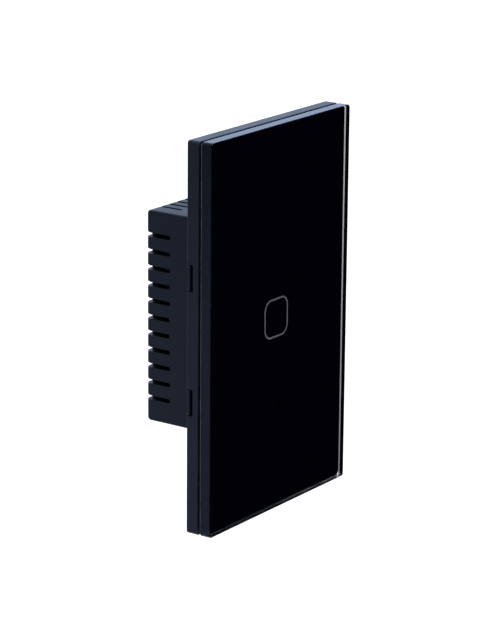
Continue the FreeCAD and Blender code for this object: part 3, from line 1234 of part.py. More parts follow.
def choke_core():
    upper = CHOKE_HEIGHT - CHOKE_FLANGE
    profile = [
        (0, 0),
        (CHOKE_RADIUS, 0),
        (CHOKE_RADIUS, CHOKE_FLANGE),
        (CHOKE_BARREL, CHOKE_FLANGE),
        (CHOKE_BARREL, upper),
        (CHOKE_RADIUS, upper),
        (CHOKE_RADIUS, CHOKE_HEIGHT),
        (0, CHOKE_HEIGHT),
    ]
    return turned(profile, CHOKE_X, CHOKE_Z, POWER_BOARD_REAR)


def choke_winding():
    front = POWER_BOARD_REAR + CHOKE_FLANGE
    rear = POWER_BOARD_REAR + CHOKE_HEIGHT - CHOKE_FLANGE
    winding = pin(CHOKE_RADIUS - CHOKE_WINDING_INSET, front, rear, CHOKE_X, CHOKE_Z)
    return winding.cut(pin(CHOKE_BARREL, front, rear, CHOKE_X, CHOKE_Z))


def bridge_rectifier():
    width, length, height = RECTIFIER_WIDTH, RECTIFIER_LENGTH, RECTIFIER_HEIGHT
    return chip(width, length, height, POWER_BOARD_REAR, 1, RECTIFIER_X, RECTIFIER_Z, RECTIFIER_LEADS)


def power_chip():
    return chip(
        POWER_CHIP_WIDTH, POWER_CHIP_LENGTH, POWER_CHIP_HEIGHT, POWER_BOARD_REAR, 1, POWER_CHIP_X, POWER_CHIP_Z
    )


def all_parts():
    """Every sub-part of the switch, by name."""
    parts = {
        "glass_panel": glass_panel(),
        "back_print": back_print(),
        "ring_print": ring_print(),
        "adhesive_sheet": adhesive_sheet(),
        "panel_frame": panel_frame(),
        "light_guide": light_guide(),
        "base_plate": base_plate(),
        "rear_housing": rear_housing(),
        "housing_screws": housing_screws(),
        "touch_board": touch_board(),
        "touch_board_screws": touch_board_screws(),
        "touch_spring": touch_spring(),
        "touch_chip": touch_chip(),
        "led_upper": led(LED_Z),
        "led_lower": led(-LED_Z),
        "radio_board": radio_board(),
        "radio_shield": radio_shield(),
        "board_header": board_header(),
        "header_pins": header_pins(),
        "board_socket": board_socket(),
        "power_board": power_board(),
        "power_board_screws": power_board_screws(),
        "terminal_body": terminal_body(),
        "relay_base": relay_base(),
        "relay_case": relay_case(),
        "relay_bobbin": relay_bobbin(),
        "relay_winding": relay_winding(),
        "relay_core": relay_core(),
        "relay_yoke": relay_yoke(),
        "relay_armature": relay_armature(),
        "relay_contact_leaf": relay_contact_leaf(),
        "relay_return_spring": relay_return_spring(),
        "relay_fixed_contact": relay_fixed_contact(),
        "relay_coil_pins": relay_coil_pins(),
        "transformer_core": transformer_core(),
        "transformer_bobbin": transformer_bobbin(),
        "transformer_winding": transformer_winding(),
        "main_capacitor": electrolytic(
            MAIN_CAPACITOR_RADIUS, MAIN_CAPACITOR_HEIGHT, MAIN_CAPACITOR_X, MAIN_CAPACITOR_Z
        ),
        "output_capacitor": electrolytic(
            OUTPUT_CAPACITOR_RADIUS, OUTPUT_CAPACITOR_HEIGHT, OUTPUT_CAPACITOR_X, OUTPUT_CAPACITOR_Z
        ),
        "film_capacitor": film_capacitor(),
        "varistor": varistor(),
        "fuse": fuse(),
        "choke_core": choke_core(),
        "choke_winding": choke_winding(),
        "bridge_rectifier": bridge_rectifier(),
        "power_chip": power_chip(),
    }
    for name, x in zip(TERMINAL_NAMES, terminal_places()):
        parts["terminal_bar_" + name] = terminal_bar(x)
        parts["terminal_clamp_" + name] = terminal_clamp(x)
        parts["terminal_screw_" + name] = terminal_screw(x)
    return parts


os.makedirs("parts", exist_ok=True)
for name, shape in all_parts().items():
    shape.exportStep("parts/" + name + ".step")
    print(name, "volume %.1f" % shape.Volume, "solids", len(shape.Solids), "valid", shape.isValid())
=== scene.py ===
"""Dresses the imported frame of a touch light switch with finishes, screws, windings and small parts."""
import logging
import math
from dataclasses import dataclass
from enum import Enum

import bmesh
import bpy
from bpy.types import Material, Mesh, Node, NodeOutputs, NodeSocket, NodeTree, Object
from mathutils import Matrix, Vector


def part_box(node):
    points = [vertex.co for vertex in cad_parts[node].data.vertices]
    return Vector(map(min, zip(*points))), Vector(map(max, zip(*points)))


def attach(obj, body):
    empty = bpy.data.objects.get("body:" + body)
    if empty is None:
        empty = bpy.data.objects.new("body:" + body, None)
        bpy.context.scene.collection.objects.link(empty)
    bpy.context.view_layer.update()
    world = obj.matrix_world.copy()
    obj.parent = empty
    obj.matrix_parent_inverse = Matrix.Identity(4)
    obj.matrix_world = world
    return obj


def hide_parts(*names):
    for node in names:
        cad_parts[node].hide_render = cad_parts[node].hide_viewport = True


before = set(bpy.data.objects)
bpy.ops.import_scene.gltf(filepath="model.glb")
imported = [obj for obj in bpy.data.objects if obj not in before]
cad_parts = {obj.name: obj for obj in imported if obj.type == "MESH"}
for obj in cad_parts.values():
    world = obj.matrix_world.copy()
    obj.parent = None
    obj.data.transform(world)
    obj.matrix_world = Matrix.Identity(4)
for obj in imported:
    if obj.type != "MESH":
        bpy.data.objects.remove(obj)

LOG = logging.getLogger("touch_switch")
MM = 0.001
TERMINALS = ("line", "neutral", "load")
CORNERS = ((0, 0), (0, 1), (1, 0), (1, 1))
Colour = tuple[float, float, float]
Triple = tuple[float, float, float]


class Axis(Enum):
    """The direction that a repeated piece's own +Z is turned to, as Euler angles."""

    REAR = (-math.pi / 2, 0.0, 0.0)
    FRONT = (math.pi / 2, 0.0, 0.0)
    UP = (0.0, 0.0, 0.0)


class Recess(Enum):
    """The driver recess in a screw's head: how many slots cross in it."""

    SLOT = 1
    CROSS = 2


# Node trees

class Bench:
    """A node tree, with short calls that add nodes and join them."""

    def __init__(self, tree: NodeTree) -> None:
        """Keeps the shader or geometry tree to work on."""
        self.tree = tree

    def add(self, kind: str, values: dict | None = None, **settings: object) -> Node:
        """Adds a node, sets it up and joins its inputs.

        Args:
            kind: the node's type name.
            values: for each input's name or number, a socket to join or a value to set.
            settings: the node's own properties.

        Returns:
            The new node.
        """
        node = self.tree.nodes.new(kind)
        for key, value in settings.items():
            setattr(node, key, value)
        for key, value in (values or {}).items():
            self.join(value, node.inputs[key])
        return node

    def join(self, value: object, socket: NodeSocket) -> None:
        """Joins a socket to an input, or sets the input's value.

        Args:
            value: a socket, a node whose first output is meant, or a plain value.
            socket: the input.
        """
        if isinstance(value, Node):
            value = value.outputs[0]
        if isinstance(value, NodeSocket):
            self.tree.links.new(value, socket)
        elif socket.type == "RGBA":
            socket.default_value = (*value, 1.0)
        else:
            socket.default_value = value

    def math(self, operation: str, *terms: object) -> NodeSocket:
        """The result of a sum on single values, given as sockets or numbers in order."""
        return self.add("ShaderNodeMath", dict(enumerate(terms)), operation=operation).outputs[0]

    def times(self, first: object, second: object) -> NodeSocket:
        """The product of two values."""
        return self.math("MULTIPLY", first, second)

    def vector(self, operation: str, *terms: object) -> NodeSocket:
        """The result of a sum on vectors, given as sockets or triples in order."""
        return self.add("ShaderNodeVectorMath", dict(enumerate(terms)), operation=operation).outputs[0]

    def point(self, x: object = 0.0, y: object = 0.0, z: object = 0.0) -> Node:
        """A vector made of three values."""
        return self.add("ShaderNodeCombineXYZ", {0: x, 1: y, 2: z})

    def apart(self, vector: object) -> NodeOutputs:
        """The X, Y and Z sockets of a vector."""
        return self.add("ShaderNodeSeparateXYZ", {0: vector}).outputs

    def spread(self, value: object, low: object, high: object, to_low: object, to_high: object) -> NodeSocket:
        """A value carried from the range of low to high to that of to_low to to_high, and held inside it."""
        values = {"Value": value, "From Min": low, "From Max": high, "To Min": to_low, "To Max": to_high}
        return self.add("ShaderNodeMapRange", values).outputs["Result"]

    def mix(self, mask: object, first: object, second: object) -> NodeSocket:
        """A blend of two colours: the first where the mask is 0 and the second where it is 1."""
        return self.add("ShaderNodeMix", {0: mask, 6: first, 7: second}, data_type="RGBA").outputs[2]

    def seen(self) -> NodeSocket:
        """The mask of rays from the camera, or through gloss or glass.

        Returns:
            The mask's socket.
        """
        path = self.add("ShaderNodeLightPath").outputs
        bent = self.math("MAXIMUM", path["Is Glossy Ray"], path["Is Transmission Ray"])
        return self.math("MAXIMUM", path["Is Camera Ray"], bent)


class Group(Bench):
    """A node group; given holds its input sockets by name."""

    def __init__(self, name: str, kind: str, **inputs: object) -> None:
        """Starts the group with its inputs.

        Args:
            name: the group's name.
            kind: Shader or Geometry.
            inputs: for each input, written with _ for a space, its default, or its type if it has none.
        """
        super().__init__(bpy.data.node_groups.new(name, kind + "NodeTree"))
        for label, default in inputs.items():
            bare = isinstance(default, str)
            plain = "Vector" if isinstance(default, tuple) else "Float"
            socket_type = "NodeSocket" + (default if bare else plain)
            label = label.replace("_", " ")
            socket = self.tree.interface.new_socket(label, in_out="INPUT", socket_type=socket_type)
            if not bare:
                socket.default_value = default
        self.given = self.tree.nodes.new("NodeGroupInput").outputs

    def give(self, kind: str, **outputs: object) -> NodeTree:
        """Ends the group with its outputs.

        Args:
            kind: the outputs' type.
            outputs: for each output's name, what it shows.

        Returns:
            The group's tree.
        """
        for label in outputs:
            self.tree.interface.new_socket(label, in_out="OUTPUT", socket_type="NodeSocket" + kind)
        self.add("NodeGroupOutput", outputs)
        return self.tree


# Shader effects that more than one finish uses

def make_grain() -> NodeTree:
    """The fine texture of a spark-eroded mould.

    Returns:
        A group with Vector and Size in, Height and Fleck out.
    """
    group = Group("moulded grain", "Shader", Vector="Vector", Size=0.12 * MM)
    place = group.given["Vector"]
    scale = group.math("DIVIDE", 1.0, group.given["Size"])
    soft = group.add("ShaderNodeTexNoise", {"Vector": place, "Scale": scale, "Detail": 3.0})
    pits = group.add("ShaderNodeTexVoronoi", {"Vector": place, "Scale": group.times(scale, 0.7)})
    fleck = group.spread(pits, 0.0, 0.12, 1.0, 0.0)
    return group.give("Float", Height=group.math("MULTIPLY_ADD", pits, 0.5, soft), Fleck=fleck)


def make_handling() -> NodeTree:
    """Faint patches where hands and cloths have changed the gloss.

    Returns:
        A group with Vector, Patch, Smooth and Rough in, Roughness and Patches out.
    """
    group = Group("handled gloss", "Shader", Vector="Vector", Patch=12 * MM, Smooth=0.4, Rough=0.5)
    given = group.given
    scale = group.math("DIVIDE", 1.0, given["Patch"])
    values = {"Vector": given["Vector"], "Scale": scale, "Detail": 5.0, "Roughness": 0.62, "Distortion": 0.4}
    cloud = group.add("ShaderNodeTexNoise", values)
    gloss = group.spread(cloud, 0.3, 0.7, given["Smooth"], given["Rough"])
    return group.give("Float", Roughness=gloss, Patches=group.spread(cloud, 0.35, 0.65, 0.0, 1.0))


def make_drawn() -> NodeTree:
    """The fine parallel lines of rolled or drawn metal, with a few small stains.

    Returns:
        A group with Vector, Line and Run in, Height and Stain out.
    """
    group = Group("drawn lines", "Shader", Vector="Vector", Line=0.1 * MM, Run=(1.0, 1.0, 0.06))
    place = group.given["Vector"]
    stretched = group.vector("MULTIPLY", place, group.given["Run"])
    scale = group.math("DIVIDE", 1.0, group.given["Line"])
    lines = group.add("ShaderNodeTexNoise", {"Vector": stretched, "Scale": scale, "Detail": 2.0})
    stains = group.add("ShaderNodeTexNoise", {"Vector": place, "Scale": 0.6 / MM, "Detail": 4.0})
    return group.give("Float", Height=lines, Stain=group.spread(stains, 0.5, 0.72, 0.0, 1.0))


def make_tracks() -> NodeTree:
    """Copper tracks and small plated holes under a board's lacquer.

    Returns:
        A group with Vector and Pitch in, Track and Hole out.
    """
    group = Group("board tracks", "Shader", Vector="Vector", Pitch=2.4 * MM)
    across, _, up = group.apart(group.given["Vector"])
    plane = group.point(across, up)
    scale = group.math("DIVIDE", 1.0, group.given["Pitch"])
    values = {"Vector": plane, "Scale": group.times(scale, 0.6), "Randomness": 0.9}
    nearest = group.add("ShaderNodeTexVoronoi", values, distance="CHEBYCHEV")
    second = group.add("ShaderNodeTexVoronoi", values, distance="CHEBYCHEV", feature="F2")
    track = group.math("LESS_THAN", group.math("SUBTRACT", second, nearest), 0.075)
    spots = group.add("ShaderNodeTexVoronoi", {"Vector": plane, "Scale": scale, "Randomness": 0.75})
    return group.give("Float", Track=track, Hole=group.math("LESS_THAN", spots, 0.085))


GRAIN = make_grain()
HANDLING = make_handling()
DRAWN = make_drawn()
TRACKS = make_tracks()


# Finishes

class Paint(Bench):
    """A material's tree with its Principled shader and the object's own coordinates."""

    def __init__(self, name: str) -> None:
        """Starts a material.

        Args:
            name: the material's name.
        """
        self.material = bpy.data.materials.new(name)
        self.material.use_nodes = True
        super().__init__(self.material.node_tree)
        self.shader = next(node for node in self.tree.nodes if node.type == "BSDF_PRINCIPLED")
        self.place = self.add("ShaderNodeTexCoord").outputs["Object"]

    def effect(self, tree: NodeTree, **values: object) -> NodeOutputs:
        """The outputs of a shared effect, placed with its inputs by name and the object's coordinates."""
        return self.add("ShaderNodeGroup", {"Vector": self.place, **values}, node_tree=tree).outputs

    def handled(self, smooth: float, rough: float, patch: float = 12 * MM) -> NodeOutputs:
        """Gives the surface a roughness that hands and cloths have changed in patches.

        Args:
            smooth: the least roughness.
            rough: the greatest roughness.
            patch: the size of the patches.

        Returns:
            The effect's outputs, Roughness and Patches.
        """
        outputs = self.effect(HANDLING, Patch=patch, Smooth=smooth, Rough=rough)
        self.shade(Roughness=outputs["Roughness"])
        return outputs

    def shade(self, **values: object) -> None:
        """Sets or joins the shader's inputs, written with _ for a space."""
        for label, value in values.items():
            self.join(value, self.shader.inputs[label.replace("_", " ")])

    def bump(self, height: object, depth: float) -> None:
        """Raises the surface by a height, of which 1 stands up by the depth in metres."""
        self.shade(Normal=self.add("ShaderNodeBump", {"Height": height, "Distance": depth, "Strength": 1.0}))

    def shifted(self, colour: Colour, mask: object, amount: float) -> NodeSocket:
        """A colour that a mask darkens at 0 and lightens at 1, by an amount that is a share of it."""
        darker, lighter = (tuple(part * share for part in colour) for share in (1 - amount, 1 + amount))
        return self.mix(mask, darker, lighter)


@dataclass(frozen=True)
class Moulded:
    """A moulded plastic or resin with the texture of its mould."""

    name: str
    colour: Colour
    smooth: float = 0.42
    rough: float = 0.52
    grain: float = 0.14 * MM
    depth: float = 0.012 * MM
    variation: float = 0.1
    specular: float = 0.5
    coat: float = 0.0
    patch: float = 12 * MM
    flecked: bool = False

    def start(self) -> tuple[Paint, NodeSocket, NodeSocket]:
        """Makes the paint without its tin or metal places.

        Returns:
            The paint, its roughness and its colour.
        """
        paint = Paint(self.name)
        grain = paint.effect(GRAIN, Size=self.grain)
        handling = paint.handled(self.smooth, self.rough, self.patch)
        mask = grain["Fleck"] if self.flecked else handling["Patches"]
        colour = paint.shifted(self.colour, mask, self.variation)
        paint.bump(grain["Height"], self.depth)
        paint.shade(Base_Color=colour, Specular_IOR_Level=self.specular)
        paint.shade(Coat_Weight=self.coat, Coat_Roughness=0.15)
        return paint, handling["Roughness"], colour

    def material(self) -> Material:
        """The finished material."""
        return self.start()[0].material


@dataclass(frozen=True)
class Ink(Moulded):
    """A screen-printed ink, very slightly uneven as the mesh leaves it."""

    smooth: float = 0.25
    rough: float = 0.35
    grain: float = 0.09 * MM
    depth: float = 0.002 * MM
    variation: float = 0.08
    patch: float = 8 * MM
    flecked: bool = True


@dataclass(frozen=True)
class LeadedPart:
    """A moulded or dipped body whose leads, outside a box round the body, are tinned."""

    body: Moulded
    middle: Triple
    half: Triple
    tin: Colour = (0.66, 0.66, 0.64)
    gloss: float = 0.55

    def material(self) -> Material:
        """The finished material."""
        paint, roughness, colour = self.body.start()
        offset = paint.vector("SUBTRACT", paint.place, self.middle)
        beyond = paint.apart(paint.vector("SUBTRACT", paint.vector("ABSOLUTE", offset), self.half))
        furthest = paint.math("MAXIMUM", paint.math("MAXIMUM", beyond[0], beyond[1]), beyond[2])
        lead = paint.math("GREATER_THAN", furthest, 0.0)
        rough = paint.times(roughness, paint.spread(lead, 0.0, 1.0, 1.0, self.gloss))
        paint.shade(Base_Color=paint.mix(lead, colour, self.tin), Metallic=lead, Roughness=rough)
        return paint.material


@dataclass(frozen=True)
class Metal:
    """A plated, drawn or bare metal with fine lines and small stains."""

    name: str
    colour: Colour
    stain: Colour
    smooth: float = 0.22
    rough: float = 0.36
    depth: float = 0.004 * MM
    coat: float = 0.0

    def material(self) -> Material:
        """The finished material."""
        paint = Paint(self.name)
        drawn = paint.effect(DRAWN)
        handling = paint.handled(self.smooth, self.rough, patch=3 * MM)
        plain = paint.shifted(self.colour, handling["Patches"], 0.06)
        paint.bump(drawn["Height"], self.depth)
        stained = paint.times(drawn["Stain"], 0.5)
        paint.shade(Base_Color=paint.mix(stained, plain, self.stain), Metallic=1.0)
        paint.shade(Coat_Weight=self.coat, Coat_Roughness=0.2)
        return paint.material


@dataclass(frozen=True)
class Laminate:
    """A circuit board: lacquer over copper tracks on glass fibre, with bare fibre on its cut edges."""

    name: str
    lacquer: Colour
    track: Colour
    front: float
    rear: float
    skin: float = 0.04 * MM
    fibre: Colour = (0.42, 0.37, 0.2)
    gold: Colour = (0.75, 0.55, 0.2)

    def material(self) -> Material:
        """The finished material."""
        paint = Paint(self.name)
        tracks = paint.effect(TRACKS)
        handling = paint.handled(smooth=0.22, rough=0.34)
        weave = paint.effect(GRAIN, Size=0.35 * MM)["Height"]
        lacquer = paint.shifted(self.lacquer, handling["Patches"], 0.12)
        face = paint.mix(tracks["Hole"], paint.mix(tracks["Track"], self.track, lacquer), self.gold)
        depth = paint.apart(paint.place)[1]
        inner = paint.math("GREATER_THAN", depth, self.front + self.skin)
        edge = paint.times(inner, paint.math("LESS_THAN", depth, self.rear - self.skin))
        fibre = paint.shifted(self.fibre, weave, 0.2)
        raised = paint.math("MULTIPLY_ADD", weave, 0.25, tracks["Track"])
        paint.bump(paint.times(raised, -1.0), 0.02 * MM)
        paint.shade(Base_Color=paint.mix(edge, face, fibre), Coat_Weight=0.4, Coat_Roughness=0.2)
        paint.shade(Metallic=paint.times(tracks["Hole"], paint.math("SUBTRACT", 1.0, edge)))
        paint.shade(Roughness=paint.math("MULTIPLY_ADD", edge, 0.35, handling["Roughness"]))
        return paint.material


@dataclass(frozen=True)
class ClearGlass:
    """Tempered glass, polished on its faces and front bevels and ground on its rear bevel.

    Behind the middle, the bevel at the right is coloured with painted shade, darker than the others and
    darker still towards the bottom;
    the bevel below the lowest is ground finer, and the wall that lies between the bevels has a colour of its
    own.
    """

    name: str
    colour: Colour
    middle: float
    right: float
    lowest: float
    # The two right arris colours are painted shade: darker copies of arris for the bevel at the right, the
    # low one at its bottom.
    arris: Colour = (0.32, 0.33, 0.35)
    right_arris: Colour = (0.14, 0.145, 0.16)
    low_arris: Colour = (0.02, 0.022, 0.025)
    wall: Colour = (0.08, 0.14, 0.15)
    polish: float = 0.012
    ground: float = 0.3
    fine_ground: float = 0.2
    face_from: float = 0.9
    wall_to: float = 0.3

    def material(self) -> Material:
        """The finished material."""
        paint = Paint(self.name)
        turned = paint.add("ShaderNodeTexCoord").outputs["Normal"]
        facing = paint.math("ABSOLUTE", paint.apart(turned)[1])
        not_wall = paint.math("GREATER_THAN", facing, self.wall_to)
        slanted = paint.times(paint.math("LESS_THAN", facing, self.face_from), not_wall)
        across, depth, up = paint.apart(paint.place)
        bevel = paint.times(slanted, paint.math("GREATER_THAN", depth, self.middle))
        handling = paint.handled(self.polish, self.polish * 1.3, patch=30 * MM)
        grain = paint.effect(GRAIN, Size=0.1 * MM)
        below = paint.math("LESS_THAN", up, self.lowest)
        ground = paint.times(bevel, paint.spread(below, 0.0, 1.0, self.ground, self.fine_ground))
        coarse = paint.times(bevel, paint.spread(below, 0.0, 1.0, 1.0, 0.5))
        paint.bump(paint.times(grain["Height"], coarse), 0.02 * MM)
        # Painted shade: the bevel at the right gets darker colours than the others, darkest at the bottom.
        height = paint.spread(up, self.lowest, -self.lowest, 0.0, 1.0)
        right = paint.mix(height, self.low_arris, self.right_arris)
        arris = paint.mix(paint.math("GREATER_THAN", across, self.right), self.arris, right)
        face = paint.mix(not_wall, self.wall, self.colour)
        paint.shade(Roughness=paint.math("MAXIMUM", handling["Roughness"], ground))
        paint.shade(Base_Color=paint.mix(bevel, face, arris), IOR=1.5)
        paint.shade(Transmission_Weight=1.0, Specular_IOR_Level=0.4)
        self.let_light_in(paint)
        return paint.material

    @staticmethod
    def let_light_in(paint: Paint) -> None:
        """Lets the lamps' rays through to the prints behind the glass.

        Args:
            paint: the glass's paint.
        """
        clear = paint.add("ShaderNodeBsdfTransparent")
        to_lamp = paint.add("ShaderNodeLightPath").outputs["Is Shadow Ray"]
        both = paint.add("ShaderNodeMixShader", {0: to_lamp, 1: paint.shader, 2: clear})
        output = next(node for node in paint.tree.nodes if node.type == "OUTPUT_MATERIAL")
        paint.join(both, output.inputs["Surface"])


@dataclass(frozen=True)
class SleevedCan:
    """An electrolytic capacitor: a printed sleeve with a plain pale stripe, and a scored bare top."""

    name: str
    middle: Vector
    radius: float
    rear: float
    sleeve: Colour = (0.01, 0.01, 0.02)
    stripe: Colour = (0.3, 0.31, 0.34)
    metal: Colour = (0.72, 0.73, 0.74)
    top_share: float = 0.87
    rim: float = 0.5 * MM
    stripe_angle: float = 0.42
    score: float = 0.12 * MM

    def material(self) -> Material:
        """The finished material."""
        paint = Paint(self.name)
        handling = paint.handled(smooth=0.2, rough=0.32, patch=4 * MM)
        drawn = paint.effect(DRAWN, Line=0.08 * MM)
        offset = paint.vector("SUBTRACT", paint.place, (self.middle.x, 0.0, self.middle.z))
        across, depth, up = paint.apart(offset)
        squares = paint.math("ADD", paint.math("POWER", across, 2.0), paint.math("POWER", up, 2.0))
        inside = paint.math("LESS_THAN", paint.math("SQRT", squares), self.radius * self.top_share)
        top = paint.times(inside, paint.math("GREATER_THAN", depth, self.rear - self.rim))
        angle = paint.math("ABSOLUTE", paint.math("ARCTAN2", across, up))
        sleeve = paint.shifted(self.sleeve, handling["Patches"], 0.1)
        sleeve = paint.mix(paint.math("LESS_THAN", angle, self.stripe_angle), sleeve, self.stripe)
        scored = paint.math("MINIMUM", paint.math("ABSOLUTE", across), paint.math("ABSOLUTE", up))
        groove = paint.times(paint.math("LESS_THAN", scored, self.score), top)
        # Painted shade: the score grooves on the top are coloured at 0.4 of the bare metal, besides being
        # sunk by the bump.
        metal = paint.mix(groove, self.metal, tuple(part * 0.4 for part in self.metal))
        height = paint.math("SUBTRACT", paint.times(drawn["Height"], 0.2), groove)
        paint.bump(height, 0.05 * MM)
        paint.shade(Base_Color=paint.mix(top, sleeve, metal), Metallic=top)
        return paint.material


@dataclass(frozen=True)
class TinnedEnds:
    """A ceramic or carbon chip part whose plated ends are marked on its mesh."""

    name: str
    body: Colour
    tin: Colour = (0.68, 0.68, 0.66)
    mark: str = "tinned"

    def material(self) -> Material:
        """The finished material."""
        paint = Paint(self.name)
        grain = paint.effect(GRAIN, Size=0.08 * MM)
        paint.handled(smooth=0.3, rough=0.5, patch=2 * MM)
        ends = paint.add("ShaderNodeAttribute", attribute_name=self.mark).outputs["Fac"]
        body = paint.shifted(self.body, grain["Fleck"], 0.15)
        paint.bump(grain["Height"], 0.006 * MM)
        paint.shade(Base_Color=paint.mix(ends, body, self.tin), Metallic=ends)
        return paint.material


# A metal's colour, its stains, and its least and greatest roughness.
ZINC = Metal("zinc plate", (0.55, 0.57, 0.6), (0.36, 0.37, 0.36), 0.18, 0.34)
TIN = Metal("bright tin", (0.66, 0.67, 0.66), (0.5, 0.5, 0.48), 0.16, 0.3)
SOLDER = Metal("solder", (0.62, 0.62, 0.63), (0.4, 0.4, 0.38), 0.14, 0.26, depth=0.0)
GOLD = Metal("gold flash", (0.8, 0.58, 0.24), (0.6, 0.42, 0.2), 0.15, 0.3)
BRASS = Metal("bare brass", (0.68, 0.49, 0.19), (0.42, 0.27, 0.1), 0.2, 0.4)
BRONZE = Metal("bronze strip", (0.64, 0.4, 0.22), (0.4, 0.22, 0.12), 0.2, 0.35)
COPPER = Metal("enamelled wire", (0.66, 0.24, 0.085), (0.42, 0.13, 0.05), 0.16, 0.28, coat=0.6)
IRON = Metal("soft iron", (0.32, 0.32, 0.33), (0.2, 0.17, 0.14), 0.3, 0.5)
SPRING = Metal("spring wire", (0.6, 0.6, 0.58), (0.4, 0.4, 0.38), 0.14, 0.26)
# A plastic's colour, its least and greatest roughness, and its grain's size and depth.
FRAME_BLACK = Moulded("frame black", (0.0035, 0.0048, 0.0088), 0.34, 0.44, specular=0.52)
BOX_BLACK = Moulded("box black", (0.0035, 0.0052, 0.0096), 0.4, 0.5, 0.18 * MM, specular=0.46)
TERMINAL_BLACK = Moulded("terminal black", (0.012, 0.0125, 0.015), 0.36, 0.5)
HEADER_BLACK = Moulded("header black", (0.008, 0.008, 0.009), 0.34, 0.46, 0.08 * MM)
CHIP_RESIN = Moulded("chip resin", (0.011, 0.011, 0.012), 0.4, 0.6, 0.06 * MM)
FERRITE = Moulded("ferrite", (0.03, 0.03, 0.032), 0.45, 0.7, 0.1 * MM, 0.02 * MM)
NYLON = Moulded("natural nylon", (0.55, 0.52, 0.42), 0.34, 0.5)
OPAL = Moulded("opal diffuser", (0.72, 0.72, 0.68), 0.25, 0.4, variation=0.03)
FOAM = Moulded("foam sheet", (0.016, 0.016, 0.018), 0.7, 0.9, 0.2 * MM, 0.05 * MM)
RELAY_BLACK = Moulded("relay black", (0.009, 0.009, 0.0105), 0.28, 0.42)
FILM_YELLOW = Moulded("film capacitor yellow", (0.6, 0.36, 0.02), 0.25, 0.4, coat=0.2)
FUSE_BROWN = Moulded("fuse brown", (0.09, 0.03, 0.012), 0.25, 0.4, coat=0.2)
VARISTOR_BLUE = Moulded("dipped blue", (0.008, 0.05, 0.22), 0.3, 0.46, 0.25 * MM)
LED_WHITE = Moulded("lamp white", (0.72, 0.7, 0.6), 0.15, 0.3, variation=0.04, coat=0.5)
BLACK_PRINT = Ink("black print", (0.0016, 0.0016, 0.0085))
MARK_PRINT = Ink("mark print", (0.48, 0.48, 0.56))
GREEN_LACQUER = (0.004, 0.045, 0.02)
GREEN_TRACK = (0.008, 0.085, 0.035)
BLUE_LACQUER = (0.003, 0.012, 0.06)
BLUE_TRACK = (0.006, 0.03, 0.12)
CERAMIC = (0.3, 0.2, 0.11)
CARBON = (0.012, 0.012, 0.014)


# Repeated pieces

class Growth(Group):
    """A Geometry Nodes tree that puts a shape on each of its points."""

    def __init__(self, name: str, **inputs: float) -> None:
        """Starts the tree with its own inputs, beside the points, their turn and the finish."""
        super().__init__(name, "Geometry", Points="Geometry", Turn=Axis.UP.value, Finish="Material", **inputs)

    def chance(self, low: float, high: float, seed: int) -> NodeSocket:
        """A random number for each point, from low to high, the same in every run by its fixed seed."""
        values = {2: low, 3: high, "Seed": seed}
        return self.add("FunctionNodeRandomValue", values, data_type="FLOAT").outputs[1]

    def block(self, x: object, y: object, z: object) -> Node:
        """A box round the origin, from its three sizes."""
        return self.add("GeometryNodeMeshCube", {"Size": self.point(x, y, z)})

    def moved(self, shape: object, x: object = 0.0, z: object = 0.0) -> Node:
        """A shape moved along X and Z."""
        return self.add("GeometryNodeTransform", {"Geometry": shape, "Translation": self.point(x, 0.0, z)})

    def rise(self, height: object, steps: int) -> Node:
        """A line up +Z from the origin, with evenly spaced points."""
        ends = {"Start": (0.0, 0.0, 0.0), "End": self.point(z=height)}
        line = self.add("GeometryNodeCurvePrimitiveLine", ends)
        return self.add("GeometryNodeResampleCurve", {"Curve": line, "Count": steps})

    def tube(self, curve: object, sides: int, radius: object, share: object = 1.0) -> Node:
        """A closed tube along a curve.

        Args:
            curve: the curve.
            sides: how many sides the tube has.
            radius: its radius.
            share: how much of the radius it has at each point.

        Returns:
            The tube's node.
        """
        ring = self.add("GeometryNodeCurvePrimitiveCircle", {"Resolution": sides, "Radius": radius})
        values = {"Curve": curve, "Profile Curve": ring, "Scale": share, "Fill Caps": True}
        return self.add("GeometryNodeCurveToMesh", values)

    def whole(self, *parts: object) -> Node:
        """The parts as one geometry."""
        node = self.add("GeometryNodeJoinGeometry")
        for part in parts:
            self.join(part, node.inputs[0])
        return node

    def repeat(self, shape: object, roll: object = 0.0) -> NodeTree:
        """Puts a shape on every point, turned to its axis, and ends the tree.

        Args:
            shape: the geometry to repeat.
            roll: each copy's turn about its own axis.

        Returns:
            The tree.
        """
        own = self.add("FunctionNodeEulerToRotation", {0: self.point(z=roll)})
        axis = self.add("FunctionNodeEulerToRotation", {0: self.given["Turn"]})
        turn = self.add("FunctionNodeRotateRotation", {0: axis, 1: own}, rotation_space="LOCAL")
        values = {"Points": self.given["Points"], "Instance": shape, "Rotation": turn}
        copies = self.add("GeometryNodeInstanceOnPoints", values)
        plain = self.add("GeometryNodeRealizeInstances", {0: copies})
        made = self.add("GeometryNodeSetMaterial", {"Geometry": plain, "Material": self.given["Finish"]})
        return self.give("Geometry", Result=made)


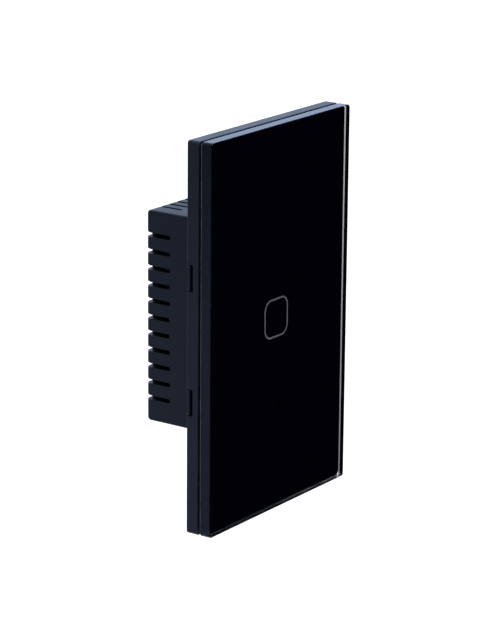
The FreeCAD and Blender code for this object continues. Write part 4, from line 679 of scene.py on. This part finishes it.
def screw_tree() -> NodeTree:
    """A pan-head screw with a helical thread and a driver recess, its seat at the origin and its head on +Z.

    Returns:
        The tree.
    """
    shank = {"Shank_Radius": 1 * MM, "Shank_Length": 6 * MM, "Pitch": 0.5 * MM, "Thread_Depth": 0.15 * MM}
    head = {"Head_Radius": 2 * MM, "Head_Height": 1 * MM, "Roll": 0.0}
    recess = {"Slot_Width": 0.5 * MM, "Slot_Depth": 0.5 * MM, "Slot_Length": 3 * MM, "Cross_Length": 0.0}
    tree = Growth("threaded screw", **shank, **head, **recess)
    given = tree.given
    axis = tree.rise(given["Head Height"], steps=12)
    along = tree.add("GeometryNodeSplineParameter").outputs["Factor"]
    dome = tree.math("SUBTRACT", 1.0, tree.times(tree.math("POWER", along, 4.0), 0.42))
    head = tree.tube(axis, sides=40, radius=given["Head Radius"], share=dome)
    deep = tree.times(given["Slot Depth"], 2.0)
    slot = tree.block(given["Slot Length"], given["Slot Width"], deep)
    cross = tree.block(given["Slot Width"], given["Cross Length"], tree.times(deep, 0.9))
    for cutter in (slot, cross):
        parts = {"Mesh 1": head, "Mesh 2": tree.moved(cutter, z=given["Head Height"])}
        head = tree.add("GeometryNodeMeshBoolean", parts, operation="DIFFERENCE", solver="EXACT")
    radius = tree.math("SUBTRACT", given["Shank Radius"], given["Thread Depth"])
    sizes = {"Vertices": 24, "Radius": radius, "Depth": given["Shank Length"]}
    core = tree.add("GeometryNodeMeshCylinder", sizes)
    core = tree.moved(core, z=tree.times(given["Shank Length"], -0.5))
    run = tree.math("SUBTRACT", given["Shank Length"], given["Pitch"])
    turns = tree.math("DIVIDE", run, given["Pitch"])
    ends = {"Start Radius": radius, "End Radius": radius}
    sizes = {"Resolution": 20, "Rotations": turns, "Height": run, **ends}
    helix = tree.add("GeometryNodeCurveSpiral", sizes)
    length = tree.math("ADD", run, tree.times(given["Pitch"], 0.5))
    helix = tree.moved(helix, z=tree.times(length, -1.0))
    thread = tree.tube(helix, sides=6, radius=given["Thread Depth"])
    roll = tree.times(given["Roll"], tree.chance(-1.0, 1.0, seed=7))
    return tree.repeat(tree.whole(head, core, thread), roll)


def coil_tree() -> NodeTree:
    """Turns of wire laid side by side round a bobbin, with the axis on +Z and the middle at the origin.

    Returns:
        The tree.
    """
    tree = Growth("laid turns", Width=8 * MM, Depth=8 * MM, Corner=4 * MM, Length=8 * MM, Wire=0.2 * MM)
    given = tree.given
    wide = tree.math("SUBTRACT", given["Width"], given["Wire"])
    deep = tree.math("SUBTRACT", given["Depth"], given["Wire"])
    loop = tree.add("GeometryNodeCurvePrimitiveQuadrilateral", {"Width": wide, "Height": deep})
    values = {"Curve": loop, "Radius": given["Corner"], "Limit Radius": True, "Count": 7}
    loop = tree.add("GeometryNodeFilletCurve", values, mode="POLY")
    turn = tree.tube(loop, sides=8, radius=tree.times(given["Wire"], 0.5))
    count = tree.math("FLOOR", tree.math("DIVIDE", given["Length"], given["Wire"]))
    step = tree.math("DIVIDE", given["Length"], count)
    lowest = tree.point(z=tree.times(tree.math("SUBTRACT", step, given["Length"]), 0.5))
    values = {"Count": count, "Start Location": lowest, "Offset": tree.point(z=step)}
    line = tree.add("GeometryNodeMeshLine", values)
    uneven = tree.chance(0.975, 1.0, seed=11)
    values = {"Points": line, "Instance": turn, "Scale": tree.point(uneven, uneven, 1.0)}
    turns = tree.add("GeometryNodeInstanceOnPoints", values)
    return tree.repeat(tree.add("GeometryNodeRealizeInstances", {0: turns}))


def chip_tree() -> NodeTree:
    """A chip resistor or capacitor with plated ends, standing on the board at the origin.

    Returns:
        The tree.
    """
    tree = Growth("chip part", Length=1.6 * MM, Width=0.8 * MM, Height=0.5 * MM, End=0.3 * MM)
    given = tree.given
    lift = tree.times(given["Height"], 0.5)
    inner = tree.math("SUBTRACT", given["Length"], tree.times(given["End"], 2.0))
    narrow = tree.times(given["Width"], 0.94)
    parts = [tree.moved(tree.block(inner, narrow, tree.times(given["Height"], 0.88)), z=lift)]
    reach = tree.times(tree.math("ADD", inner, given["End"]), 0.5)
    for side in (-1.0, 1.0):
        cap = tree.block(given["End"], given["Width"], given["Height"])
        values = {"Geometry": cap, "Name": "tinned", "Value": 1.0}
        marked = tree.add("GeometryNodeStoreNamedAttribute", values)
        parts.append(tree.moved(marked, tree.times(reach, side), lift))
    quarter = tree.math("ROUND", tree.chance(0.0, 1.0, seed=23))
    return tree.repeat(tree.whole(*parts), tree.times(quarter, math.pi / 2))


def joint_tree() -> NodeTree:
    """A solder joint: a hollow-sided cone that climbs a pin, standing on the board at the origin.

    Returns:
        The tree.
    """
    tree = Growth("solder joint", Pad=0.9 * MM, Pin=0.35 * MM, Climb=0.8 * MM)
    axis = tree.rise(tree.given["Climb"], steps=7)
    along = tree.add("GeometryNodeSplineParameter").outputs["Factor"]
    share = tree.math("POWER", tree.math("SUBTRACT", 1.0, along), 2.2)
    narrow = tree.math("DIVIDE", tree.given["Pin"], tree.given["Pad"])
    flare = tree.math("MULTIPLY_ADD", share, tree.math("SUBTRACT", 1.0, narrow), narrow)
    return tree.repeat(tree.tube(axis, sides=16, radius=tree.given["Pad"], share=flare))


SCREW = screw_tree()
COIL = coil_tree()
CHIP_PART = chip_tree()
JOINT = joint_tree()


def stand(name: str, data: bpy.types.ID) -> Object:
    """Puts a new object in the scene.

    Args:
        name: the object's name.
        data: its mesh, camera or lamp.

    Returns:
        The object, at the origin.
    """
    item = bpy.data.objects.new(name, data)
    bpy.context.scene.collection.objects.link(item)
    return item


def keep(name: str, mesh: Mesh, crease: float = 35.0) -> Object:
    """Makes a piece of a mesh, smooth but for its sharp edges.

    Args:
        name: the piece's name.
        mesh: its mesh, in place.
        crease: the angle in degrees past which an edge stays sharp.

    Returns:
        The piece.
    """
    mesh.name = name
    form = bmesh.new()
    form.from_mesh(mesh)
    bmesh.ops.recalc_face_normals(form, faces=form.faces)
    form.to_mesh(mesh)
    form.free()
    mesh.shade_smooth()
    mesh.set_sharp_from_angle(angle=math.radians(crease))
    return stand(name, mesh)


def grow(name: str, tree: NodeTree, points: list[Vector], values: dict[str, object]) -> Object:
    """Grows one plain mesh from a tree.

    Args:
        name: the new piece's name.
        tree: the tree to grow it from.
        points: where the shape is repeated.
        values: the tree's inputs by name.

    Returns:
        The piece, with its place in its mesh and no modifier left.
    """
    seeds = bpy.data.meshes.new(name + "_points")
    seeds.from_pydata([tuple(point) for point in points], [], [])
    holder = stand(name + "_holder", seeds)
    modifier = holder.modifiers.new("grow", "NODES")
    modifier.node_group = tree
    for item in tree.interface.items_tree:
        if item.item_type == "SOCKET" and item.in_out == "INPUT" and item.name in values:
            modifier[item.identifier] = values[item.name]
    graph = bpy.context.evaluated_depsgraph_get()
    solid = holder.evaluated_get(graph)
    grown = bpy.data.meshes.new_from_object(solid, preserve_all_data_layers=True, depsgraph=graph)
    holder.modifiers.remove(modifier)
    bpy.data.objects.remove(holder)
    bpy.data.meshes.remove(seeds)
    return keep(name, grown)


@dataclass(frozen=True)
class Screw:
    """One kind of pan-head screw, in its real sizes."""

    head_radius: float
    head_height: float
    shank_radius: float
    slot_width: float
    pitch: float = 0.7 * MM
    thread_depth: float = 0.22 * MM
    recess: Recess = Recess.CROSS
    roll: float = math.pi
    recess_depth: float = 0.55
    cross_reach: float = 1.4
    slot_reach: float = 2.4

    def inputs(self, length: float) -> dict[str, object]:
        """The screw tree's inputs, of which most are named as this class's fields.

        Args:
            length: how far the shank reaches from the head.

        Returns:
            Each input's value by its name.
        """
        slot = self.head_radius * self.slot_reach
        cross = self.slot_width / 2
        if self.recess is Recess.CROSS:
            slot = cross = self.head_radius * self.cross_reach
        depth = self.head_height * self.recess_depth
        values = {name.replace("_", " ").title(): value for name, value in vars(self).items()}
        values.update({"Turn": Axis.REAR.value, "Finish": ZINC.material(), "Shank Length": length})
        values.update({"Slot Depth": depth, "Slot Length": slot, "Cross Length": cross})
        return values


# Sub-assemblies

class SubAssembly:
    """What every sub-assembly does: dress its nodes, and put its own pieces on their bodies."""

    body: str = "base"

    def dress(self, finish: object, *nodes: str) -> None:
        """Gives CAD nodes a finish.

        Args:
            finish: the finish, with a material method.
            nodes: the nodes' names.
        """
        material = finish.material()
        for node in nodes:
            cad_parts[node].material_slots[0].material = material
        LOG.info("%s dresses %s", material.name, ", ".join(nodes))

    def mount(self, piece: Object, slot: str, body: str = "", replaced: tuple[str, ...] = ()) -> None:
        """Makes a piece ride on a body, and hides the nodes that it stands for.

        Args:
            piece: the new piece.
            slot: the record's material slot; not used.
            body: the body's name, or nothing for the sub-assembly's own.
            replaced: the CAD nodes that it stands for.
        """
        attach(piece, body or self.body)
        if replaced:
            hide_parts(*replaced)
        LOG.info("%s rides on %s", piece.name, body or self.body)

    def fasten(self, node: str, screw: Screw, corners: tuple = CORNERS, body: str = "") -> None:
        """Grows threaded screws in place of a node's plain ones.

        Args:
            node: the CAD node.
            screw: the kind of screw.
            corners: which corners of the node's box have one.
            body: the body that they ride on, or nothing for the sub-assembly's own.
        """
        low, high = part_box(node)
        ends_x = (low.x + screw.head_radius, high.x - screw.head_radius)
        ends_z = (low.z + screw.head_radius, high.z - screw.head_radius)
        seat = high.y - screw.head_height
        places = [Vector((ends_x[x], seat, ends_z[z])) for x, z in corners]
        piece = grow("cut_" + node, SCREW, places, screw.inputs(seat - low.y))
        self.mount(piece, "zinc_steel", body, replaced=(node,))


@dataclass
class FrontPanel(SubAssembly):
    """The glass with its prints, and the frame that carries it."""

    body: str = "panel"
    clear: Colour = (0.93, 0.97, 0.98)
    bevel: float = 0.5 * MM

    def build(self) -> None:
        """Dresses the panel's nodes."""
        low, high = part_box("glass_panel")
        bounds = ((low.y + high.y) / 2, high.x - self.bevel, low.z + self.bevel)
        self.dress(ClearGlass("clear glass", self.clear, *bounds), "glass_panel")
        self.dress(BLACK_PRINT, "back_print")
        self.dress(MARK_PRINT, "ring_print")
        self.dress(FOAM, "adhesive_sheet")
        self.dress(FRAME_BLACK, "panel_frame")
        self.dress(OPAL, "light_guide")


@dataclass
class RearBox(SubAssembly):
    """The base plate and the moulded box, with the screws that hold them together."""

    screw: Screw = Screw(
        head_radius=2.0 * MM, head_height=1.6 * MM, shank_radius=1.1 * MM, slot_width=0.6 * MM
    )

    def build(self) -> None:
        """Dresses the box and grows its screws."""
        self.dress(FRAME_BLACK, "base_plate")
        self.dress(BOX_BLACK, "rear_housing")
        self.fasten("housing_screws", self.screw)


@dataclass
class BoardParts(SubAssembly):
    """What both boards have: lacquer, leaded parts, chip parts and solder joints."""

    screw: Screw = Screw(
        head_radius=1.7 * MM, head_height=1.2 * MM, shank_radius=0.9 * MM, slot_width=0.5 * MM,
        pitch=0.6 * MM, thread_depth=0.18 * MM,
    )
    part_length: float = 1.6 * MM
    part_width: float = 0.8 * MM
    part_height: float = 0.5 * MM
    pad: float = 0.85 * MM

    def laminate(self, node: str, lacquer: Colour, track: Colour) -> None:
        """Dresses a bare board, with the lacquer's colours between the tracks and over them."""
        low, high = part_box(node)
        self.dress(Laminate(node.replace("_", " "), lacquer, track, low.y, high.y), node)

    def leaded(self, node: str, body: Moulded, half: Triple, drop: float = 0.0) -> None:
        """Dresses a part with tinned leads.

        Args:
            node: the part.
            body: the finish of its moulded or dipped body.
            half: half of the body's size.
            drop: how far the body's middle lies behind the middle of the node's box, along Y.
        """
        low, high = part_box(node)
        middle = (low + high) / 2 + Vector((0.0, drop, 0.0))
        self.dress(LeadedPart(body, tuple(middle), half), node)

    def chip_parts(self, name: str, places: list[Vector], body: Colour) -> None:
        """Grows chip resistors or capacitors on a board's front face.

        Args:
            name: the piece's name.
            places: where they stand.
            body: their bodies' colour.
        """
        finish = TinnedEnds(name.replace("_", " "), body).material()
        sizes = {"Length": self.part_length, "Width": self.part_width, "Height": self.part_height}
        values = {"Turn": Axis.FRONT.value, "Finish": finish, **sizes}
        self.mount(grow(name, CHIP_PART, places, values), "led_body")

    def solder(self, name: str, places: list[Vector], climb: float) -> None:
        """Grows solder joints that climb the pins at these places on a board's front face."""
        values = {"Turn": Axis.FRONT.value, "Finish": SOLDER.material(), "Pad": self.pad, "Climb": climb}
        self.mount(grow(name, JOINT, places, values), "shield_tin")


@dataclass
class TouchBoard(BoardParts):
    """The front board with the touch spring, the lamps, the radio module and the header."""

    header_pins: int = 5
    header_pitch: float = 2.54 * MM
    solder_climb: float = 0.8
    chip_half: Triple = (2.001 * MM, 1.0 * MM, 3.0 * MM)
    lamp_spread: float = 7.6 * MM
    columns: tuple[float, ...] = (-6.6 * MM, -3.4 * MM, 3.4 * MM, 6.6 * MM)
    resistor_reach: float = 5.4 * MM

    def build(self) -> None:
        """Dresses the board's nodes and grows its small parts."""
        self.laminate("touch_board", GREEN_LACQUER, GREEN_TRACK)
        self.laminate("radio_board", BLUE_LACQUER, BLUE_TRACK)
        self.fasten("touch_board_screws", self.screw)
        self.dress(SPRING, "touch_spring")
        self.dress(TIN, "radio_shield")
        self.dress(HEADER_BLACK, "board_header", "board_socket")
        self.dress(GOLD, "header_pins")
        self.dress(LED_WHITE, "led_upper", "led_lower")
        self.leaded("touch_chip", CHIP_RESIN, self.chip_half)
        low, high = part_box("touch_chip")
        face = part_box("touch_board")[0].y
        rows = (-self.lamp_spread, self.lamp_spread)
        sides = (-self.resistor_reach, self.resistor_reach)
        around = [Vector((x, face, z)) for x in self.columns for z in rows]
        beside = [Vector((x, face, z)) for x in sides for z in (low.z, high.z)]
        self.chip_parts("touch_chip_capacitors", around, CERAMIC)
        self.chip_parts("touch_chip_resistors", beside, CARBON)
        low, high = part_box("header_pins")
        middle = (low + high) / 2
        steps = [number - (self.header_pins - 1) / 2 for number in range(self.header_pins)]
        pins = [Vector((middle.x + step * self.header_pitch, face, middle.z)) for step in steps]
        self.solder("header_solder", pins, (face - low.y) * self.solder_climb)


@dataclass
class PowerBoard(BoardParts):
    """The rear board with the supply's parts."""

    wire: float = 0.3 * MM
    core_corner: float = 0.6 * MM
    varistor_half: Triple = (4.1 * MM, 4.02 * MM, 2.0 * MM)
    varistor_drop: float = 0.5 * MM
    bridge_half: Triple = (3.201 * MM, 2.0 * MM, 3.0 * MM)
    chip_half: Triple = (2.001 * MM, 2.0 * MM, 3.0 * MM)

    def winding(self, node: str, axis: Axis, corner: float, finish: Material) -> None:
        """Grows turns of wire in place of a winding's plain solid.

        Args:
            node: the winding's node.
            axis: which way its axis points.
            corner: the radius of its turns' corners.
            finish: the wire's material.
        """
        low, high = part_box(node)
        size = high - low
        deep, along = (size.y, size.z) if axis is Axis.UP else (size.z, size.y)
        sizes = {"Width": size.x, "Depth": deep, "Corner": corner, "Length": along, "Wire": self.wire}
        values = {"Turn": axis.value, "Finish": finish, **sizes}
        piece = grow(node + "_turns", COIL, [(low + high) / 2], values)
        self.mount(piece, "copper_wire", replaced=(node,))

    def can(self, node: str) -> None:
        """Dresses an electrolytic capacitor, which stands along Y."""
        low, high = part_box(node)
        self.dress(SleevedCan(node.replace("_", " "), (low + high) / 2, (high.x - low.x) / 2, high.y), node)

    def build(self) -> None:
        """Dresses the board's nodes and grows its windings."""
        self.laminate("power_board", GREEN_LACQUER, GREEN_TRACK)
        self.fasten("power_board_screws", self.screw, ((0, 0), (1, 0), (1, 1)))
        wire = COPPER.material()
        self.winding("transformer_winding", Axis.UP, self.core_corner, wire)
        low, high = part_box("choke_winding")
        self.winding("choke_winding", Axis.REAR, (high.x - low.x) / 2, wire)
        self.can("main_capacitor")
        self.can("output_capacitor")
        self.dress(FERRITE, "transformer_core", "choke_core")
        self.dress(NYLON, "transformer_bobbin")
        self.dress(FILM_YELLOW, "film_capacitor")
        self.dress(FUSE_BROWN, "fuse")
        self.leaded("varistor", VARISTOR_BLUE, self.varistor_half, self.varistor_drop)
        self.leaded("bridge_rectifier", CHIP_RESIN, self.bridge_half)
        self.leaded("power_chip", CHIP_RESIN, self.chip_half)


@dataclass
class TerminalBlock(SubAssembly):
    """The terminal body with its bars, clamps and screws."""

    screw: Screw = Screw(
        head_radius=2.6 * MM, head_height=1.8 * MM, shank_radius=1.5 * MM, slot_width=0.8 * MM,
        pitch=0.5 * MM, thread_depth=0.2 * MM, recess=Recess.SLOT, roll=0.0,
    )

    def build(self) -> None:
        """Dresses the block and grows a screw for each terminal."""
        self.dress(TERMINAL_BLACK, "terminal_body")
        self.dress(BRASS, *("terminal_bar_" + name for name in TERMINALS))
        self.dress(ZINC, *("terminal_clamp_" + name for name in TERMINALS))
        for name in TERMINALS:
            node = "terminal_screw_" + name
            self.fasten(node, self.screw, ((0, 0),), node)


@dataclass
class Relay(PowerBoard):
    """The relay: its case, magnet, armature and contacts."""

    wire: float = 0.24 * MM

    def build(self) -> None:
        """Dresses the relay's nodes and grows its coil."""
        self.dress(RELAY_BLACK, "relay_case")
        self.dress(HEADER_BLACK, "relay_base")
        self.dress(NYLON, "relay_bobbin")
        self.dress(IRON, "relay_core", "relay_yoke", "relay_armature")
        self.dress(BRONZE, "relay_contact_leaf", "relay_return_spring", "relay_fixed_contact")
        self.dress(TIN, "relay_coil_pins")
        low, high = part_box("relay_winding")
        self.winding("relay_winding", Axis.UP, (high.x - low.x) / 2, COPPER.material())


# Studio

def facing(place: Vector) -> Matrix:
    """The matrix that puts something at a place, with its +Z away from the object."""
    return Matrix.Translation(place) @ place.to_track_quat("Z", "Y").to_matrix().to_4x4()


def sheet(name: str, width: float, height: float, place: Matrix, finish: Material) -> Object:
    """A flat sheet of one face.

    Args:
        name: its name.
        width: its width.
        height: its height.
        place: where it lies and how it is turned.
        finish: its material.

    Returns:
        The sheet.
    """
    mesh = bpy.data.meshes.new(name)
    signs = ((-0.5, -0.5), (0.5, -0.5), (0.5, 0.5), (-0.5, 0.5))
    corners = [tuple(place @ Vector((x * width, y * height, 0.0))) for x, y in signs]
    mesh.from_pydata(corners, [], [(0, 1, 2, 3)])
    mesh.materials.append(finish)
    return stand(name, mesh)


@dataclass(frozen=True)
class Card:
    """A reflector card that only gloss shows; its upper part sends back a share of its glow."""

    name: str
    toward: Triple
    distance: float
    width: float
    height: float
    glow: Colour
    top: float = 1.0
    fade_from: float = -0.03
    fade_to: float = 0.05

    def build(self) -> None:
        """Stands the card up."""
        paint = Paint(self.name.replace("_", " "))
        paint.handled(smooth=0.9, rough=1.0, patch=0.1)
        height = paint.apart(paint.place)[2]
        fade = paint.spread(height, self.fade_from, self.fade_to, 1.0, self.top)
        paint.shade(Base_Color=(0.0, 0.0, 0.0), Specular_IOR_Level=0.0)
        paint.shade(Emission_Color=self.glow, Emission_Strength=fade if self.top < 1.0 else 1.0)
        place = facing(Vector(self.toward).normalized() * self.distance)
        card = sheet(self.name, self.width, self.height, place, paint.material)
        for ray in ("camera", "diffuse", "transmission", "shadow"):
            setattr(card, "visible_" + ray, False)


CARDS = (
    Card("front_card", (0.0, -0.94, -0.34), 0.2, 2.0, 1.0, (0.0, 0.0, 0.0)),
    Card("side_card", (-0.787, 0.5535, -0.2), 0.14, 0.6, 0.4, (0.24, 0.31, 0.52), 0.5),
    Card("corner_card", (-0.554, -0.787, -0.27), 0.2, 0.12, 0.2, (0.05, 0.05, 0.07)),
    Card("top_card", (0.787, 0.5535, 0.42), 0.6, 0.8, 0.7, (0.8, 1.02, 1.46)),
    Card("edge_card", (-0.27, 0.55, 0.79), 0.4, 0.4, 0.4, (0.35, 0.46, 0.72)),
    Card("upper_bevel_card", (0.787, -0.271, 0.553), 0.4, 0.3, 0.3, (0.04, 0.05, 0.08)),
    Card("lower_bevel_card", (0.787, 0.27, -0.554), 0.25, 0.2, 0.2, (0.85, 1.05, 1.5)),
)


@dataclass
class Studio:
    """The camera at the photograph's angle, the soft light, the pale floor and the reflector cards."""

    camera_place: Triple = (-0.67066, -0.46880, 0.23130)
    forward: Triple = (0.7873, 0.5535, -0.2716)
    up: Triple = (0.2170, 0.1636, 0.9624)
    lens: float = 161.53
    floor_level: float = -0.25
    floor_size: float = 60.0
    floor_colour: Colour = (0.86, 0.86, 0.86)
    floor_glow: float = 0.5
    ambient: float = 0.75
    lamp_place: Triple = (-0.5, -0.9, 1.1)
    lamp_size: float = 0.9
    lamp_power: float = 9.0

    def build(self) -> None:
        """Makes the studio."""
        self.camera()
        self.world()
        self.floor()
        self.lamp()
        for card in CARDS:
            card.build()

    def camera(self) -> None:
        """Puts the camera where the photograph was taken from."""
        data = bpy.data.cameras.new("camera")
        data.lens = self.lens
        data.clip_start = 0.01
        eye = stand("camera", data)
        ahead = Vector(self.forward).normalized()
        right = ahead.cross(Vector(self.up)).normalized()
        upward = right.cross(ahead)
        turn = Matrix((right, upward, -ahead)).transposed().to_4x4()
        eye.matrix_world = Matrix.Translation(Vector(self.camera_place)) @ turn
        bpy.context.scene.camera = eye

    def world(self) -> None:
        """A white surround to the camera and in gloss, and a plain soft light on the object."""
        world = bpy.data.worlds.new("soft white")
        world.use_nodes = True
        bpy.context.scene.world = world
        bench = Bench(world.node_tree)
        background = next(node for node in bench.tree.nodes if node.type == "BACKGROUND")
        strength = bench.spread(bench.seen(), 0.0, 1.0, self.ambient, 1.0)
        bench.join((1.0, 1.0, 1.0), background.inputs["Color"])
        bench.join(strength, background.inputs["Strength"])

    def floor(self) -> None:
        """A wide pale floor that keeps the object's shadow."""
        paint = Paint("pale floor")
        paint.handled(smooth=0.8, rough=0.95, patch=0.6)
        glow = paint.times(paint.seen(), self.floor_glow)
        paint.shade(Base_Color=self.floor_colour, Specular_IOR_Level=0.1)
        paint.shade(Emission_Color=(1.0, 1.0, 1.0), Emission_Strength=glow)
        place = Matrix.Translation((0.0, 0.0, self.floor_level))
        floor = sheet("floor", self.floor_size, self.floor_size, place, paint.material)

    def lamp(self) -> None:
        """A soft lamp that faces the object."""
        data = bpy.data.lights.new("key", "AREA")
        data.shape = "DISK"
        data.size = self.lamp_size
        data.energy = self.lamp_power
        stand("key", data).matrix_world = facing(Vector(self.lamp_place))


def main() -> None:
    """Builds the studio and every sub-assembly, and sets the plain view transform."""
    logging.basicConfig(level=logging.INFO, format="%(name)s: %(message)s")
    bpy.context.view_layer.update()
    Studio().build()
    for part in (FrontPanel(), RearBox(), TouchBoard(), PowerBoard(), TerminalBlock(), Relay()):
        part.build()
    bpy.context.scene.view_settings.view_transform = "Standard"


if __name__ == "__main__":
    main()
